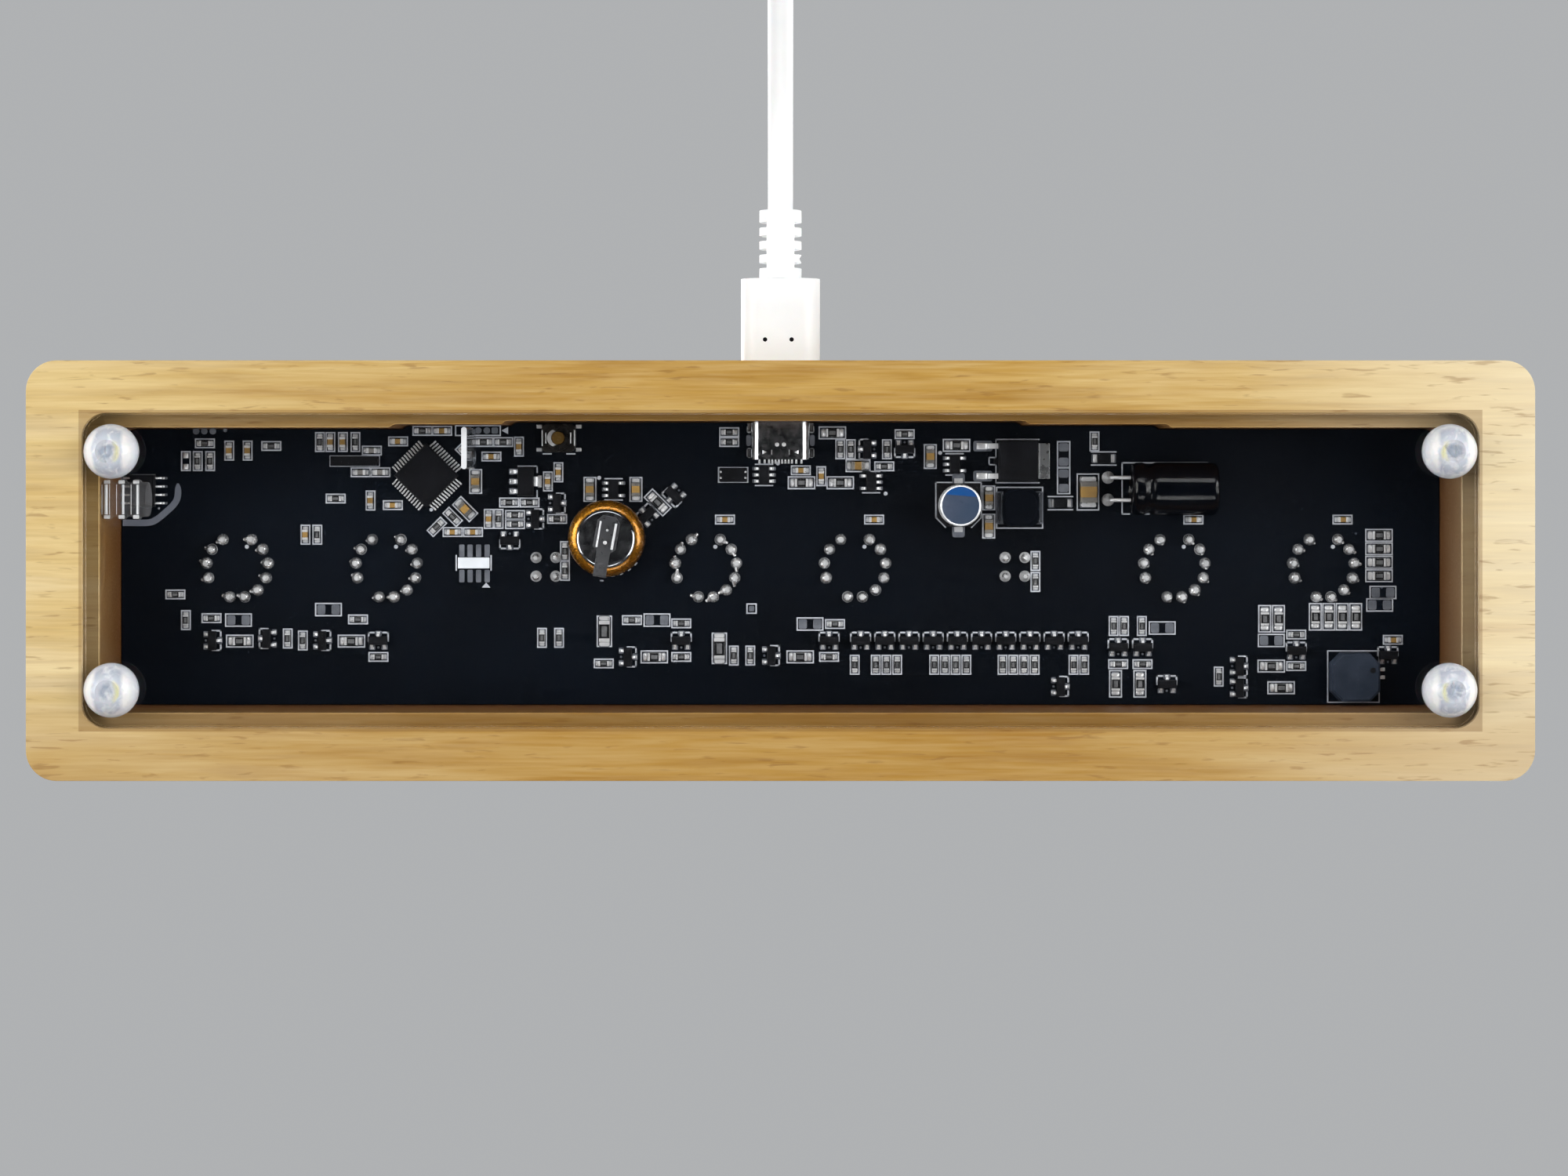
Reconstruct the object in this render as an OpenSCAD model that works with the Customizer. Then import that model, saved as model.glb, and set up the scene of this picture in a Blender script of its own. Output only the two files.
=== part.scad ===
// Six-digit nixie tube clock in a hardwood case, seen to the last chip.
// Millimetres. +Z is up, -Y is the front, the origin is on the table under the middle of the case.

/* [Wooden case] */
// Length of the case, left to right
case_length = 221.4; // [219:0.2:230]
// Depth of the case, front to back
case_depth = 61.7; // [60:0.1:70]
// Height of the wood alone
case_height = 30; // [28:0.5:38]
// Radius of the case's upright corners
case_corner_r = 4.5; // [3:0.5:8]
// Radius of the rounded edge round the top
top_edge_r = 2; // [1:0.25:2.75]
// Width of the wooden rim left beside the base panel at each end
rim_end = 8.2; // [7:0.1:9]
// Depth of the cavity that holds the board, front to back
cavity_depth = 42.1; // [41.4:0.1:44.6]
// Width of the ledge that the base panel rests on
ledge = 2.1; // [1.5:0.1:3]
// Depth from the bottom of the wood up to the underside of the board
board_depth = 17.8; // [16.5:0.1:19.5]
// Corner radius of the recess and of the cavity above it
recess_corner_r = 3.6; // [2:0.2:5]
// Room over the board for the tubes' soldered leads
lead_room = 2; // [1.5:0.25:4]
// Width of the shoulder that the board seats against
shoulder = 3; // [2:0.25:4]
// Length of the wider routed notch in the back wall
notch_length = 116; // [100:1:120]
// Length of the deeper routed notch in the back wall
deep_notch_length = 78.6; // [60:0.2:90]
// How far the deeper notch sits to the right of the middle
deep_notch_offset = 2.2; // [0:0.1:6]
// Depth of each of the two steps of the notch
notch_step = 0.5; // [0.3:0.05:0.8]

/* [Base panel and feet] */
// Thickness of the clear base panel
panel_thickness = 3; // [2:0.25:4]
// Gap between the base panel and the wood round it
panel_gap = 0.15; // [0.05:0.05:0.4]
// Diameter of a domed foot
foot_d = 8; // [6:0.25:10]
// Height of a domed foot
foot_height = 3.6; // [2.5:0.1:5]
// Diameter of the flat on which a foot stands
foot_flat_d = 3.4; // [2:0.1:5]
// Distance from the panel's end to the foot's middle
foot_inset_end = 4.3; // [4:0.1:9]
// Distance from the panel's long side to the foot's middle
foot_inset_long = 5.5; // [5:0.1:9]

/* [Circuit board] */
// Thickness of the board
board_thickness = 1.6; // [1:0.1:2.4]
// Gap between the board and the cavity wall
board_gap = 0.15; // [0.05:0.05:0.4]
// Gap round a lead in its hole
lead_gap = 0.05; // [0.03:0.01:0.15]
// Diameter of a solder joint's foot
solder_d = 1.7; // [1.3:0.1:1.9]
// Height of a solder joint under the board
solder_height = 1.1; // [0.6:0.1:1.8]

/* [Nixie tubes] */
// Distance between the two tubes of a pair
tube_pitch = 22.7; // [21:0.1:25]
// Distance between the middles of neighbouring pairs
pair_pitch = 71.3; // [66:0.1:72]
// Outer diameter of a tube's glass
tube_d = 19; // [18:0.25:19.5]
// Thickness of the glass
glass_wall = 1; // [0.8:0.1:1.2]
// Thickness of the glass base that the leads pass through
glass_base = 2.5; // [1.5:0.25:4]
// Height of the glass without its sealed tip
glass_height = 54; // [50:1:60]
// Height of the sealed tip on top
tip_height = 3; // [2:0.25:4]
// Gap between a tube and its hole in the wood
tube_gap = 0.6; // [0.3:0.1:0.8]
// Height of the lead spacer under a tube
spacer_height = 3; // [2:0.25:4]
// Diameter of the lead spacer
spacer_d = 17; // [14:0.25:17.5]
// Diameter of the circle on which the leads stand
lead_circle_d = 9.4; // [9:0.1:10]
// Diameter of a lead
lead_d = 0.6; // [0.5:0.05:0.7]
// Height of a numeral
digit_height = 18; // [15:0.5:19]
// Width of a numeral
digit_width = 9.4; // [7:0.2:10]
// Width of a numeral's stroke
stroke = 0.7; // [0.5:0.05:0.9]
// Thickness of a numeral
digit_thickness = 0.3; // [0.2:0.05:0.4]
// Distance from one numeral to the next behind it
digit_pitch = 0.95; // [0.8:0.01:1]
// Height of the digit stack's foot over the glass base
stack_lift = 11; // [8:0.5:13]
// Distance between the honeycomb's cells
mesh_cell = 1.9; // [1.7:0.1:2.4]
// Width of the wires between the cells
mesh_wire = 0.3; // [0.2:0.05:0.4]

/* [Colon lamps] */
// Distance from the middle of the case to a colon
colon_x = 35.7; // [35:0.1:36.5]
// Diameter of a neon lamp
lamp_d = 5; // [4:0.1:5.2]
// Length of a neon lamp
lamp_length = 9; // [7:0.25:9.5]
// Height of the lower lamp's foot over the wood
lower_lamp_lift = 10.4; // [4:0.2:14]
// Distance from the lower lamp's foot to the upper lamp's foot
lamp_spacing = 11; // [10.5:0.25:14]
// Distance between a lamp's two leads
lamp_lead_pitch = 3; // [2.4:0.1:3.2]
// Distance between the two lamps' rows of leads
lamp_row_pitch = 2.85; // [2.8:0.05:3.2]

/* [Power port and plug] */
// Width of the receptacle's metal shell
port_w = 8.94; // [8.8:0.02:9.2]
// Height of the receptacle's metal shell
port_h = 3.26; // [3.16:0.02:3.5]
// Length of the receptacle
port_length = 7.3; // [7:0.1:9]
// Thickness of the receptacle's shell
port_wall = 0.3; // [0.2:0.05:0.3]
// Running gap between the plug and the receptacle
port_gap = 0.1; // [0.05:0.01:0.12]
// Thickness of the plug's metal shell
plug_wall = 0.3; // [0.2:0.05:0.35]
// How far the plug's metal shell reaches out of its grip
plug_reach = 6.65; // [6:0.05:6.8]
// Width of the moulded grip
grip_w = 12; // [11:0.1:13]
// Height of the moulded grip
grip_h = 6.5; // [5.5:0.1:7]
// Length of the moulded grip
grip_length = 19.6; // [18:0.1:24]
// Gap between the grip and its slot in the wood
grip_gap = 0.3; // [0.2:0.05:0.6]
// Diameter of the strain relief
relief_d = 6.4; // [5.6:0.1:6.5]
// Length of the strain relief
relief_length = 10.4; // [9:0.1:12]
// Diameter of the cable
cord_d = 3.8; // [3:0.1:4]
// How far the plug pulls back out of its socket
unplug_travel = 8; // [7:0.5:10]

/* [Parts under the board] */
// Width of the microcontroller's square body
mcu_w = 7; // [6:0.5:8]
// Diameter of the backup cell over its sleeve
cell_d = 11.6; // [10:0.1:12]
// Height of the backup cell
cell_height = 5.2; // [4:0.1:6.5]
// Diameter of the high-voltage capacitor
hv_cap_d = 8; // [6.3:0.1:8.2]
// Length of the high-voltage capacitor
hv_cap_length = 13; // [11:0.5:14]
// Diameter of the upright can capacitor
can_cap_d = 6.3; // [5:0.1:6.6]
// Height of the upright can capacitor
can_cap_height = 5.8; // [5:0.1:8]
// Width of the power inductor
inductor_w = 5.8; // [5:0.1:6]
// Height of the power inductor
inductor_height = 2.8; // [2:0.1:4]
// Width of the buzzer
buzzer_w = 7.5; // [6:0.1:8]
// Height of the buzzer
buzzer_height = 2.5; // [2:0.1:4]
// Diameter of the reset button's cap
reset_cap_d = 1.9; // [1.5:0.1:2.2]
// How far the reset button presses in
reset_travel = 0.3; // [0.2:0.05:0.35]
// Outer diameter of the light guide's ribs
guide_rib_d = 6.1; // [5.6:0.1:6.6]
// Diameter of the light guide between its ribs
guide_neck_d = 5.1; // [4.5:0.1:5.3]
// Length of the clear fin that stands on the board
fin_length = 6.2; // [5:0.1:7]
// Thickness of the clear fin
fin_thickness = 0.8; // [0.5:0.1:1.2]

/* [Hidden] */

$fn = 48;
// A hair of overlap that joins two pieces of one solid or clears a cut's far face
nib = 0.02;

// Heights, from the table up
case_bottom = foot_height;
ledge_z = case_bottom + panel_thickness;
board_bottom = case_bottom + board_depth;
board_top = board_bottom + board_thickness;
pocket_top = board_top + lead_room;
case_top = case_bottom + case_height;

// Plan sizes
recess_length = case_length - 2 * rim_end;
recess_depth = cavity_depth + 2 * ledge;
cavity_length = recess_length - 2 * ledge;
cavity_corner_r = recess_corner_r - 1;
cutter_r = 1.5;
back_wall_y = cavity_depth / 2 + 2 * notch_step;
case_back_y = case_depth / 2;

// A foot's dome passes through the edge of its flat, and through its rim a little under the panel
foot_rim = 0.8;
dome_rise = foot_height - foot_rim;
dome_centre_z = (dome_rise * dome_rise + foot_d * foot_d / 4 - foot_flat_d * foot_flat_d / 4) / (2 * dome_rise);
dome_r = norm([foot_flat_d / 2, dome_centre_z]);

// Tubes: 1 is the leftmost as one looks at the front
tube_count = 6;
tube_x = [for (pair = [-1:1]) for (side = [-1, 1]) pair * pair_pitch + side * tube_pitch / 2];
tube_hole_d = tube_d + 2 * tube_gap;
glass_z = board_top + spacer_height;
glass_floor_z = glass_z + glass_base;
glass_inner_r = tube_d / 2 - glass_wall;
dome_z = glass_z + glass_height - tube_d / 2;
mica_thickness = 0.4;
stack_z = glass_floor_z + stack_lift;
cage_z = stack_z + mica_thickness;
digit_rise = 2.3;
digit_z = cage_z + digit_rise + digit_height / 2;
cage_height = digit_height + 2 * digit_rise;
digit_count = 10;
stack_depth = (digit_count - 1) * digit_pitch + digit_thickness;
cage_depth = stack_depth + 1.4;
cage_w = digit_width + 2.4;
cage_sheet = 0.25;
post_length = cage_depth - 2 * cage_sheet;
mica_d = 2 * glass_inner_r - 0.4;
post_r = 0.35;
getter_r = 2.6;
getter_wire_r = 0.35;
// The thirteen places on a tube's lead circle, of which the first and the ninth stay empty
lead_places = 13;
lead_spots = [for (i = [0:lead_places - 1]) if (i != 0 && i != 8) 90 + i * 360 / lead_places];
lead_length_under = 1.6;

// Colon lamps
colon_hole_d = lamp_d + 3.4;
lower_lamp_z = case_top + lower_lamp_lift;
upper_lamp_z = lower_lamp_z + lamp_spacing;
lamp_wall = 0.5;
lamp_lead_r = 0.25;
sleeve_r = 0.5;
lower_lamp_y = -lamp_row_pitch / 2 - 0.35;
sleeve_start = 1;

// Power port
port_z = board_bottom - port_h / 2;
port_mouth_y = back_wall_y + 1.6;
port_back_y = port_mouth_y - port_length;
port_inner_w = port_w - 2 * port_wall;
port_inner_h = port_h - 2 * port_wall;
port_back_wall = 0.9;
plug_w = port_inner_w - 2 * port_gap;
plug_h = port_inner_h - 2 * port_gap;
grip_front_y = port_mouth_y + 0.5;
plug_tip_y = grip_front_y - plug_reach;
tongue_h = 0.7;
tongue_w = plug_w - 2 * plug_wall - 1;
tongue_length = 5.4;
grip_back_y = grip_front_y + grip_length;
relief_end_y = grip_back_y + relief_length;
relief_slots = 4;
relief_slot_pitch = 2.05;
relief_slot_w = 0.8;

// Cable: 1.5 m in all. The lead runs from the strain relief down to the table, as pairs of
// distance behind the strain relief and share of the height that is left.
cord_r = cord_d / 2;
cord_lift = 0.05;
floor_z = cord_r + cord_lift;
lead_route = [[0, 1], [4, 1], [10, 0.97], [16, 0.88], [22, 0.73], [28, 0.54], [34, 0.35],
              [40, 0.18], [46, 0.07], [52, 0.01], [58, 0], [64, 0]];
lead_points = [for (p = lead_route) [0, relief_end_y + p[0], floor_z + p[1] * (port_z - floor_z)]];
lead_sides = 8;

// Coil: layers of loops that spiral in and out by turns, each a cord's width and a gap apart
coil_layers = 4;
coil_turns = 10.25;
coil_inner_r = 16;
coil_gap = 0.5;
coil_pitch = cord_d + coil_gap;
coil_layer_turns = coil_turns / coil_layers;
coil_outer_r = coil_inner_r + coil_pitch * coil_layer_turns;
coil_rings = 24;
coil_sides = 6;
coil_start = lead_points[len(lead_points) - 1] + [0, cord_d, 0];
coil_centre = coil_start - [coil_outer_r, 0, 0];

// How far a turn count lies through its layer, out and back: 0 at the outside, 1 at the inside
function fold(turn) = let (s = turn / coil_layer_turns, n = floor(s), f = s - n) n % 2 == 0 ? f : 1 - f;
// The layer that a turn count is in, as a number that climbs in the half turn round each reversal
function climbed(turn) =
    let (n = round(turn / coil_layer_turns), d = turn - n * coil_layer_turns,
         inside = n > 0 && n < coil_layers, s = min(1, max(0, d * 2 + 0.5)))
    inside ? n - 1 + s * s * (3 - 2 * s) : min(coil_layers - 1, floor(turn / coil_layer_turns));
function coil_point(turn) =
    let (r = coil_outer_r - coil_pitch * coil_layer_turns * fold(turn), a = 360 * turn)
    coil_centre + [r * cos(a), r * sin(a), coil_pitch * climbed(turn)];
coil_steps = round(coil_turns * coil_rings);
coil_loops = [for (i = [0:coil_steps]) coil_point(coil_turns * i / coil_steps)];
coil_end = coil_loops[coil_steps] - [cord_d, 0, 0];
coil_points = concat([coil_start - [0, cord_d, 0]], coil_loops, [coil_end]);

// Tail: from the top of the coil down to the far plug, as pairs of distance and share of the drop
far_grip_w = 14.5;
far_grip_h = 7.6;
far_grip_length = 18;
far_relief_d = 6;
far_relief_length = 8;
far_shell_w = 12;
far_shell_h = 4.5;
far_shell_length = 12.5;
far_plug_z = far_grip_h / 2 + cord_lift;
tail_route = [[0, 1], [4, 1], [9, 0.94], [14, 0.76], [19, 0.5], [24, 0.24], [29, 0.06], [34, 0], [38, 0]];
tail_points = [for (p = tail_route)
    [coil_end[0] - p[0], coil_end[1], far_plug_z + p[1] * (coil_end[2] - far_plug_z)]];
tail_end = tail_points[len(tail_points) - 1];

// Parts under the board, as [x, y] from the board's middle, and the turn of the part's long side.
// They were measured in a cavity of these sizes, and spread with it, but a spot that ends in a
// name keeps its distance from the part, or from the tubes and lamps, of that name.
measured_cavity = [200.8, 42.1];
spread = [cavity_length / measured_cavity[0], cavity_depth / measured_cavity[1]];
function keeper(name) =
    name == "cell" ? cell_spot : name == "can" ? can_cap_spot : name == "mcu" ? mcu_spot :
    name == "fin" ? fin_spot : name == "buzzer" ? buzzer_spot :
    name == "transistor" ? power_transistor_spot : low_pair_spot;
function laid(spot) =
    let (name = spot[len(spot) - 1], near = is_string(name) && name != "tube" ? keeper(name) : spot)
    name == "tube" ? spot : [for (i = [0, 1]) near[i] * spread[i] + spot[i] - near[i]];

reset_spot = [33.7, 19.6];
fin_spot = [46.7, 18];
mcu_spot = [53.8, 13.9];
clock_chip_spot = [96.1, 11.6];
cell_spot = [26.3, 4.4];
hv_cap_spot = [-59.4, 11.9];
hv_lead_pitch = 3.4;
can_cap_spot = [-27.1, 9.4];
inductor_spot = [-36.4, 9, "transistor"];
power_transistor_spot = [-36.1, 16.1];
buzzer_spot = [-87.2, -16.7];
regulator_spot = [38.7, 13];
low_pair_spot = [-69.8, -15.1];
guide_y = 10.4;

reset_w = 5.1;
reset_depth = 4.4;
reset_height = 1.9;
reset_clearance = 0.05;
reset_flange = 0.35;
reset_cap_reach = 0.8;
fin_height = board_bottom - ledge_z - 0.6;
guide_ribs = 3;
guide_rib_w = 1.3;
guide_rib_pitch = 2.15;
guide_z = ledge_z + guide_rib_d / 2 + 0.1;
guide_length = 6.6;
guide_spigot = 3;
guide_socket_gap = 0.1;
wall_x = cavity_length / 2;

resistor_size = [1.6, 0.8, 0.45];
capacitor_size = [1.6, 0.8, 0.8];
large_resistor_size = [2, 1.25, 0.5];
wide_resistor_size = [3.2, 1.6, 0.55];
large_capacitor_size = [2, 1.25, 1];
bulk_capacitor_size = [3.2, 2.5, 1.8];
diode_size = [2.6, 1.5, 1];

// A resistor that keeps its distance from the last tube's middle, in the room before the end wall
end_spot_reach = norm([9.45, 4.2]);
end_spot_x = (wall_x - tube_x[5]) * 0.5324;
end_spot_y = -max(4.2, sqrt(max(0, pow(end_spot_reach, 2) - pow(end_spot_x, 2))));
end_spot = [tube_x[5] + end_spot_x, end_spot_y, 0, "tube"];

resistor_spots = [
    [87.6, 18.8, 0], [88.7, 16.1, 90], [86.8, 16.1, 90], [77.5, 18.4, 0], [70.1, 19, 90],
    [64.7, 19, 90], [54.5, 20.7, 0], [67.7, 10.4, 0], [tube_x[4] + 10.55, 4.9, 90, "tube"], [49.9, 7.6, 45],
    [52.3, 6.1, 135], [45.2, 19, 0], [42.2, 19, 0], [41.3, 9.8, 0], [38.2, 9.8, 0],
    [42.9, 7.3, 90], [40.4, 7.9, 0], [40.4, 6.5, 0], [34, 7.3, 0], [32.8, 2.4, 90, "cell"],
    [32.8, -0.6, 90, "cell"], [7.8, 20.5, 0], [7.8, 19, 0], [-9.1, 17.9, 90], [-10.7, 17.9, 90],
    [-16.2, 17.9, 90], [-18.9, 20.2, 0], [-15.8, 15.3, 0], [-47.8, 19.1, 90],
    [-colon_x - 3.1, 0.9, 90, "tube"], [-colon_x - 3.1, -2.3, 90, "tube"], [36.3, -10.8, 90], [33.7, -10.8, 90],
    end_spot, [90.5, -8.1, 90], [86.6, -7.8, 0], [64.3, -8, 0], [75, -10.9, 90],
    [72.7, -11.2, 90], [61.2, -13.7, 0], [22.6, -8.1, 0], [15.1, -8.6, 0], [15.1, -13.7, 0],
    [26.9, -14.7, 0], [7.1, -13.5, 90], [4.6, -13.5, 90], [-8.3, -8.7, 0], [-7.4, -13.7, 0],
    [-50.7, -9, 90], [-52.3, -9, 90], [-55, -9, 90], [-51.4, -14.8, 0], [-55.1, -14.8, 0],
    [-66.7, -16.7, 90], [-78.5, -10.3, 0], [-78.5, -15.1, 0]];
// Rows of upright resistors: where each row starts, and how many stand in it
resistor_row_y = -14.9;
resistor_row_pitch = 1.63;
resistor_rows = [[-11.3, 1], [-14.5, 3], [-23.4, 4], [-33.8, 4], [-44.6, 2]];
large_resistor_spots = [
    [82.3, -11.3, 0], [65.3, -11.3, 0], [19.2, -13.7, 0], [-7.9, 20.4, 0], [-3.2, 12.8, 0], [-9.1, 12.8, 0],
    [-26.8, 18.5, 0], [-3, -13.7, 0], [-51, -17.8, 90], [-54.7, -17.8, 90], [-73.7, -7.9, 90], [-75.8, -7.9, 90],
    [-74.7, -15.1, 0], [-76.2, -18.4, 0], [18.7, 9.8, 45, "cell"]];
wide_resistor_spots = [[26.8, -9.8, 90], [9.3, -12.4, 90]];
// Two ranks of large resistors beside the last tube
large_resistor_columns_x = -81.4;
large_resistor_columns_y = -7.6;
large_resistor_stack_x = -91.1;
large_resistor_stack_y = 4.8;
large_resistor_pitch = 2.05;
capacitor_spots = [
    [83.9, 17.7, 90], [81.1, 17.7, 90], [68.5, 19, 90], [66.6, 19, 90], [58.2, 19.1, 0],
    [51.5, 20.7, 0], [63.9, 14.4, 0, "mcu"], [60.9, 14.4, 0, "mcu"], [62.4, 10.1, 90], [59, 9.4, 0],
    [tube_x[4] + 12.35, 4.9, 90, "tube"], [48, 17.3, 45, "fin"], [49.9, 5.3, 0], [46.8, 5.3, 0], [39.8, 18.3, 90],
    [44, 16.8, 0, "fin"], [44.4, 7.3, 90], [33.8, 14.4, 90], [35.4, 13, 90], [-3.1, 14.7, 0],
    [-6.2, 13.8, 90], [62.2, 17.7, 0], [-93.2, -11.1, 0, "buzzer"]];
large_capacitor_spots = [
    [48, 8.8, 45], [46.4, 13, 90, "mcu"], [29, 11.8, 90, "cell"], [22, 11.8, 90, "cell"], [-11.8, 15.4, 0],
    [-22.8, 16.8, 90], [-31.7, 10.5, 90, "can"], [-31.7, 6.2, 90, "can"]];
bulk_capacitor_spots = [[-46.8, 11.4, 90]];
// A small capacitor stands beside each of the first four tubes
tube_capacitor_shift = [-2.9, 7.2];
diode_spots = [[-49.2, 16.5, 0], [-42.6, 9.7, 0]];
// Three-legged parts: the turn carries the side with two legs round from the front
transistor_spots = [
    [86.4, -11.2, 90], [78.1, -10.9, -90], [69.7, -11.2, 90], [61.2, -11.2, 0],
    [34, 9.7, 90], [37.3, 7.3, 90], [41.2, 4, 180], [20.3, 7.9, -45, "cell"], [16.2, 10.9, 225, "cell"],
    [-13.2, 17.9, -90], [-18.9, 17.9, 180], [15.1, -11.2, 0], [23.2, -13.7, 90],
    [1.4, -13.5, 90], [-7.4, -11.2, 0], [-42.6, -18.2, 90], [-51.4, -12.2, 0],
    [-55.1, -12.2, 0], [-58.8, -17.8, 0], [-69.8, -15.1, 90], [-69.8, -18.4, 90, "pair"],
    [-78.5, -12.7, 0], [-92.45, -13.4, 0, "buzzer"]];
// The row of ten cathode drivers
driver_count = 10;
driver_start_x = -12.2;
driver_y = -11.2;
driver_pitch = 3.68;
// Five- and six-legged parts: the turn carries the side with the legs left out round from the front
small_chip_spots = [[25.4, 11.8, -90, 2, "cell"], [2.5, 14, 90, 3], [-13.8, 12.9, 90, 2], [-26.5, 15.6, -90, 2]];
crystal_spot = [7.2, 14];
fork_crystal_spot = [64.8, 16.1, 0, "mcu"];

echo(cable_length = path_length(lead_points) + path_length(coil_points) + path_length(tail_points));
echo(coil_least_gap = coil_least_distance() - cord_d);

function path_length(points) = [for (i = 1, s = norm(points[1] - points[0]); i < len(points);
    i = i + 1, s = s + (i < len(points) ? norm(points[i] - points[i - 1]) : 0)) s][len(points) - 2];
// The least distance between two places on the coil that are more than half a turn apart
function coil_least_distance() = min([for (i = [0:2:coil_steps]) for (j = [i + coil_rings / 2 + 1:coil_steps])
    norm(coil_loops[i] - coil_loops[j])]);

// ---- helpers ----

module rounded_square(length, depth, r) {
    square([length - 2 * r, depth], center = true);
    square([length, depth - 2 * r], center = true);
    for (sx = [-1, 1]) for (sy = [-1, 1])
        translate([sx * (length / 2 - r), sy * (depth / 2 - r)]) circle(r);
}

module rounded_plate(length, depth, height, r) {
    linear_extrude(height) rounded_square(length, depth, r);
}

// A stadium-shaped bar along Y, from y0 to y1, round at both ends of its width
module flat_bar(width, height, y0, y1, z) {
    translate([0, y1, z]) rotate([90, 0, 0]) linear_extrude(y1 - y0) rounded_square(width, height, height / 2 - nib);
}

// The outline of the cavity and of the board in it, drawn in by a gap
module cavity_outline(gap) {
    rounded_square(cavity_length - 2 * gap, cavity_depth - 2 * gap, cavity_corner_r);
    for (step = [[notch_length, 1, 0], [deep_notch_length, 2, deep_notch_offset]])
        translate([step[2], step[1] * notch_step / 2 + cavity_depth / 4])
            rounded_square(step[0] - 2 * gap, cavity_depth / 2 + step[1] * notch_step - 2 * gap, cutter_r);
}

// Hangs its children, modelled upright, under the board
module under_board(spot, turn = 0) {
    at = laid(spot);
    translate([at[0], at[1], board_bottom]) rotate([0, 0, turn]) mirror([0, 0, 1]) children();
}

// A block on the board, centred, with its foot at z0
module block(size, z0 = 0) {
    translate([-size[0] / 2, -size[1] / 2, z0]) cube(size);
}

// A tube swept along points, as one closed body with square ends
function direction(points, i) =
    let (a = points[max(0, i - 1)], b = points[min(len(points) - 1, i + 1)]) (b - a) / norm(b - a);
module sweep_tube(points, r, sides) {
    last = len(points) - 1;
    rings = [for (i = [0:last])
        let (along = direction(points, i), flat = cross([0, 0, 1], along),
             side = flat / norm(flat), up = cross(along, side))
        for (k = [0:sides - 1]) let (a = 360 * (k + 0.5) / sides)
            points[i] + r * (cos(a) * side + sin(a) * up)];
    walls = [for (i = [0:last - 1]) for (k = [0:sides - 1])
        let (a = i * sides + k, b = i * sides + (k + 1) % sides)
        each [[a, a + sides, b + sides], [a, b + sides, b]]];
    first_cap = [for (k = [1:sides - 2]) [0, k, k + 1]];
    last_cap = [for (k = [1:sides - 2]) [last * sides, last * sides + k + 1, last * sides + k]];
    polyhedron(rings, concat(walls, first_cap, last_cap));
}

// ---- wooden case, base panel and feet ----

module rounded_top_profile(width) {
    translate([-width / 2, 0]) square([width, case_height - top_edge_r]);
    translate([-width / 2 + top_edge_r, 0]) square([width - 2 * top_edge_r, case_height]);
    for (s = [-1, 1]) translate([s * (width / 2 - top_edge_r), case_height - top_edge_r]) circle(top_edge_r);
}

// The block of wood before it is hollowed, with its top edges rounded
module case_block() {
    straight_x = case_length - 2 * case_corner_r;
    straight_y = case_depth - 2 * case_corner_r;
    translate([-straight_x / 2, 0, 0]) rotate([90, 0, 90]) linear_extrude(straight_x) rounded_top_profile(case_depth);
    translate([0, straight_y / 2, 0]) rotate([90, 0, 0]) linear_extrude(straight_y) rounded_top_profile(case_length);
    for (sx = [-1, 1]) for (sy = [-1, 1]) translate([sx * straight_x / 2, sy * straight_y / 2, 0])
        rotate_extrude() intersection() {
            rounded_top_profile(2 * case_corner_r);
            square([case_corner_r, case_height]);
        }
}

module wood_case() {
    color("burlywood") translate([0, 0, case_bottom]) difference() {
        case_block();
        translate([0, 0, -nib]) rounded_plate(recess_length, recess_depth, panel_thickness + nib, recess_corner_r);
        translate([0, 0, panel_thickness - nib])
            linear_extrude(board_depth + board_thickness - panel_thickness + nib) cavity_outline(0);
        translate([0, 0, panel_thickness])
            rounded_plate(cavity_length - 2 * shoulder, cavity_depth - 2 * shoulder,
                pocket_top - case_bottom - panel_thickness, cavity_corner_r);
        for (x = tube_x) translate([x, 0, board_depth]) cylinder(h = case_height, d = tube_hole_d);
        for (side = [-1, 1]) translate([side * colon_x, 0, board_depth]) cylinder(h = case_height, d = colon_hole_d);
        translate([0, 0, -case_bottom])
            flat_bar(grip_w + 2 * grip_gap, grip_h + 2 * grip_gap, back_wall_y - 1, case_back_y + 1, port_z);
        translate([wall_x - nib, guide_y, guide_z - case_bottom]) rotate([0, 90, 0])
            cylinder(h = guide_spigot + guide_socket_gap + nib, d = guide_neck_d + 2 * guide_socket_gap);
    }
}

module base_panel() {
    color("lightcyan", 0.4) translate([0, 0, case_bottom])
        rounded_plate(recess_length - 2 * panel_gap, recess_depth - 2 * panel_gap,
            panel_thickness, recess_corner_r - panel_gap);
}

// A soft domed bumper that stands on a small flat
module foot(side, end) {
    x = side * (recess_length / 2 - panel_gap - foot_inset_end);
    y = end * (recess_depth / 2 - panel_gap - foot_inset_long);
    color("white", 0.6) translate([x, y, 0]) rotate_extrude() intersection() {
        square([foot_d / 2, foot_height]);
        translate([0, dome_centre_z]) circle(dome_r);
    }
}

// ---- circuit board ----

module lead_holes(d) {
    for (a = lead_spots) rotate(a) translate([lead_circle_d / 2, 0]) circle(d = d, $fn = 16);
}

module colon_spots() {
    for (sx = [-1, 1]) for (sy = [-1, 1])
        translate([sx * lamp_lead_pitch / 2, sy * lamp_row_pitch / 2]) children();
}

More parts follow.
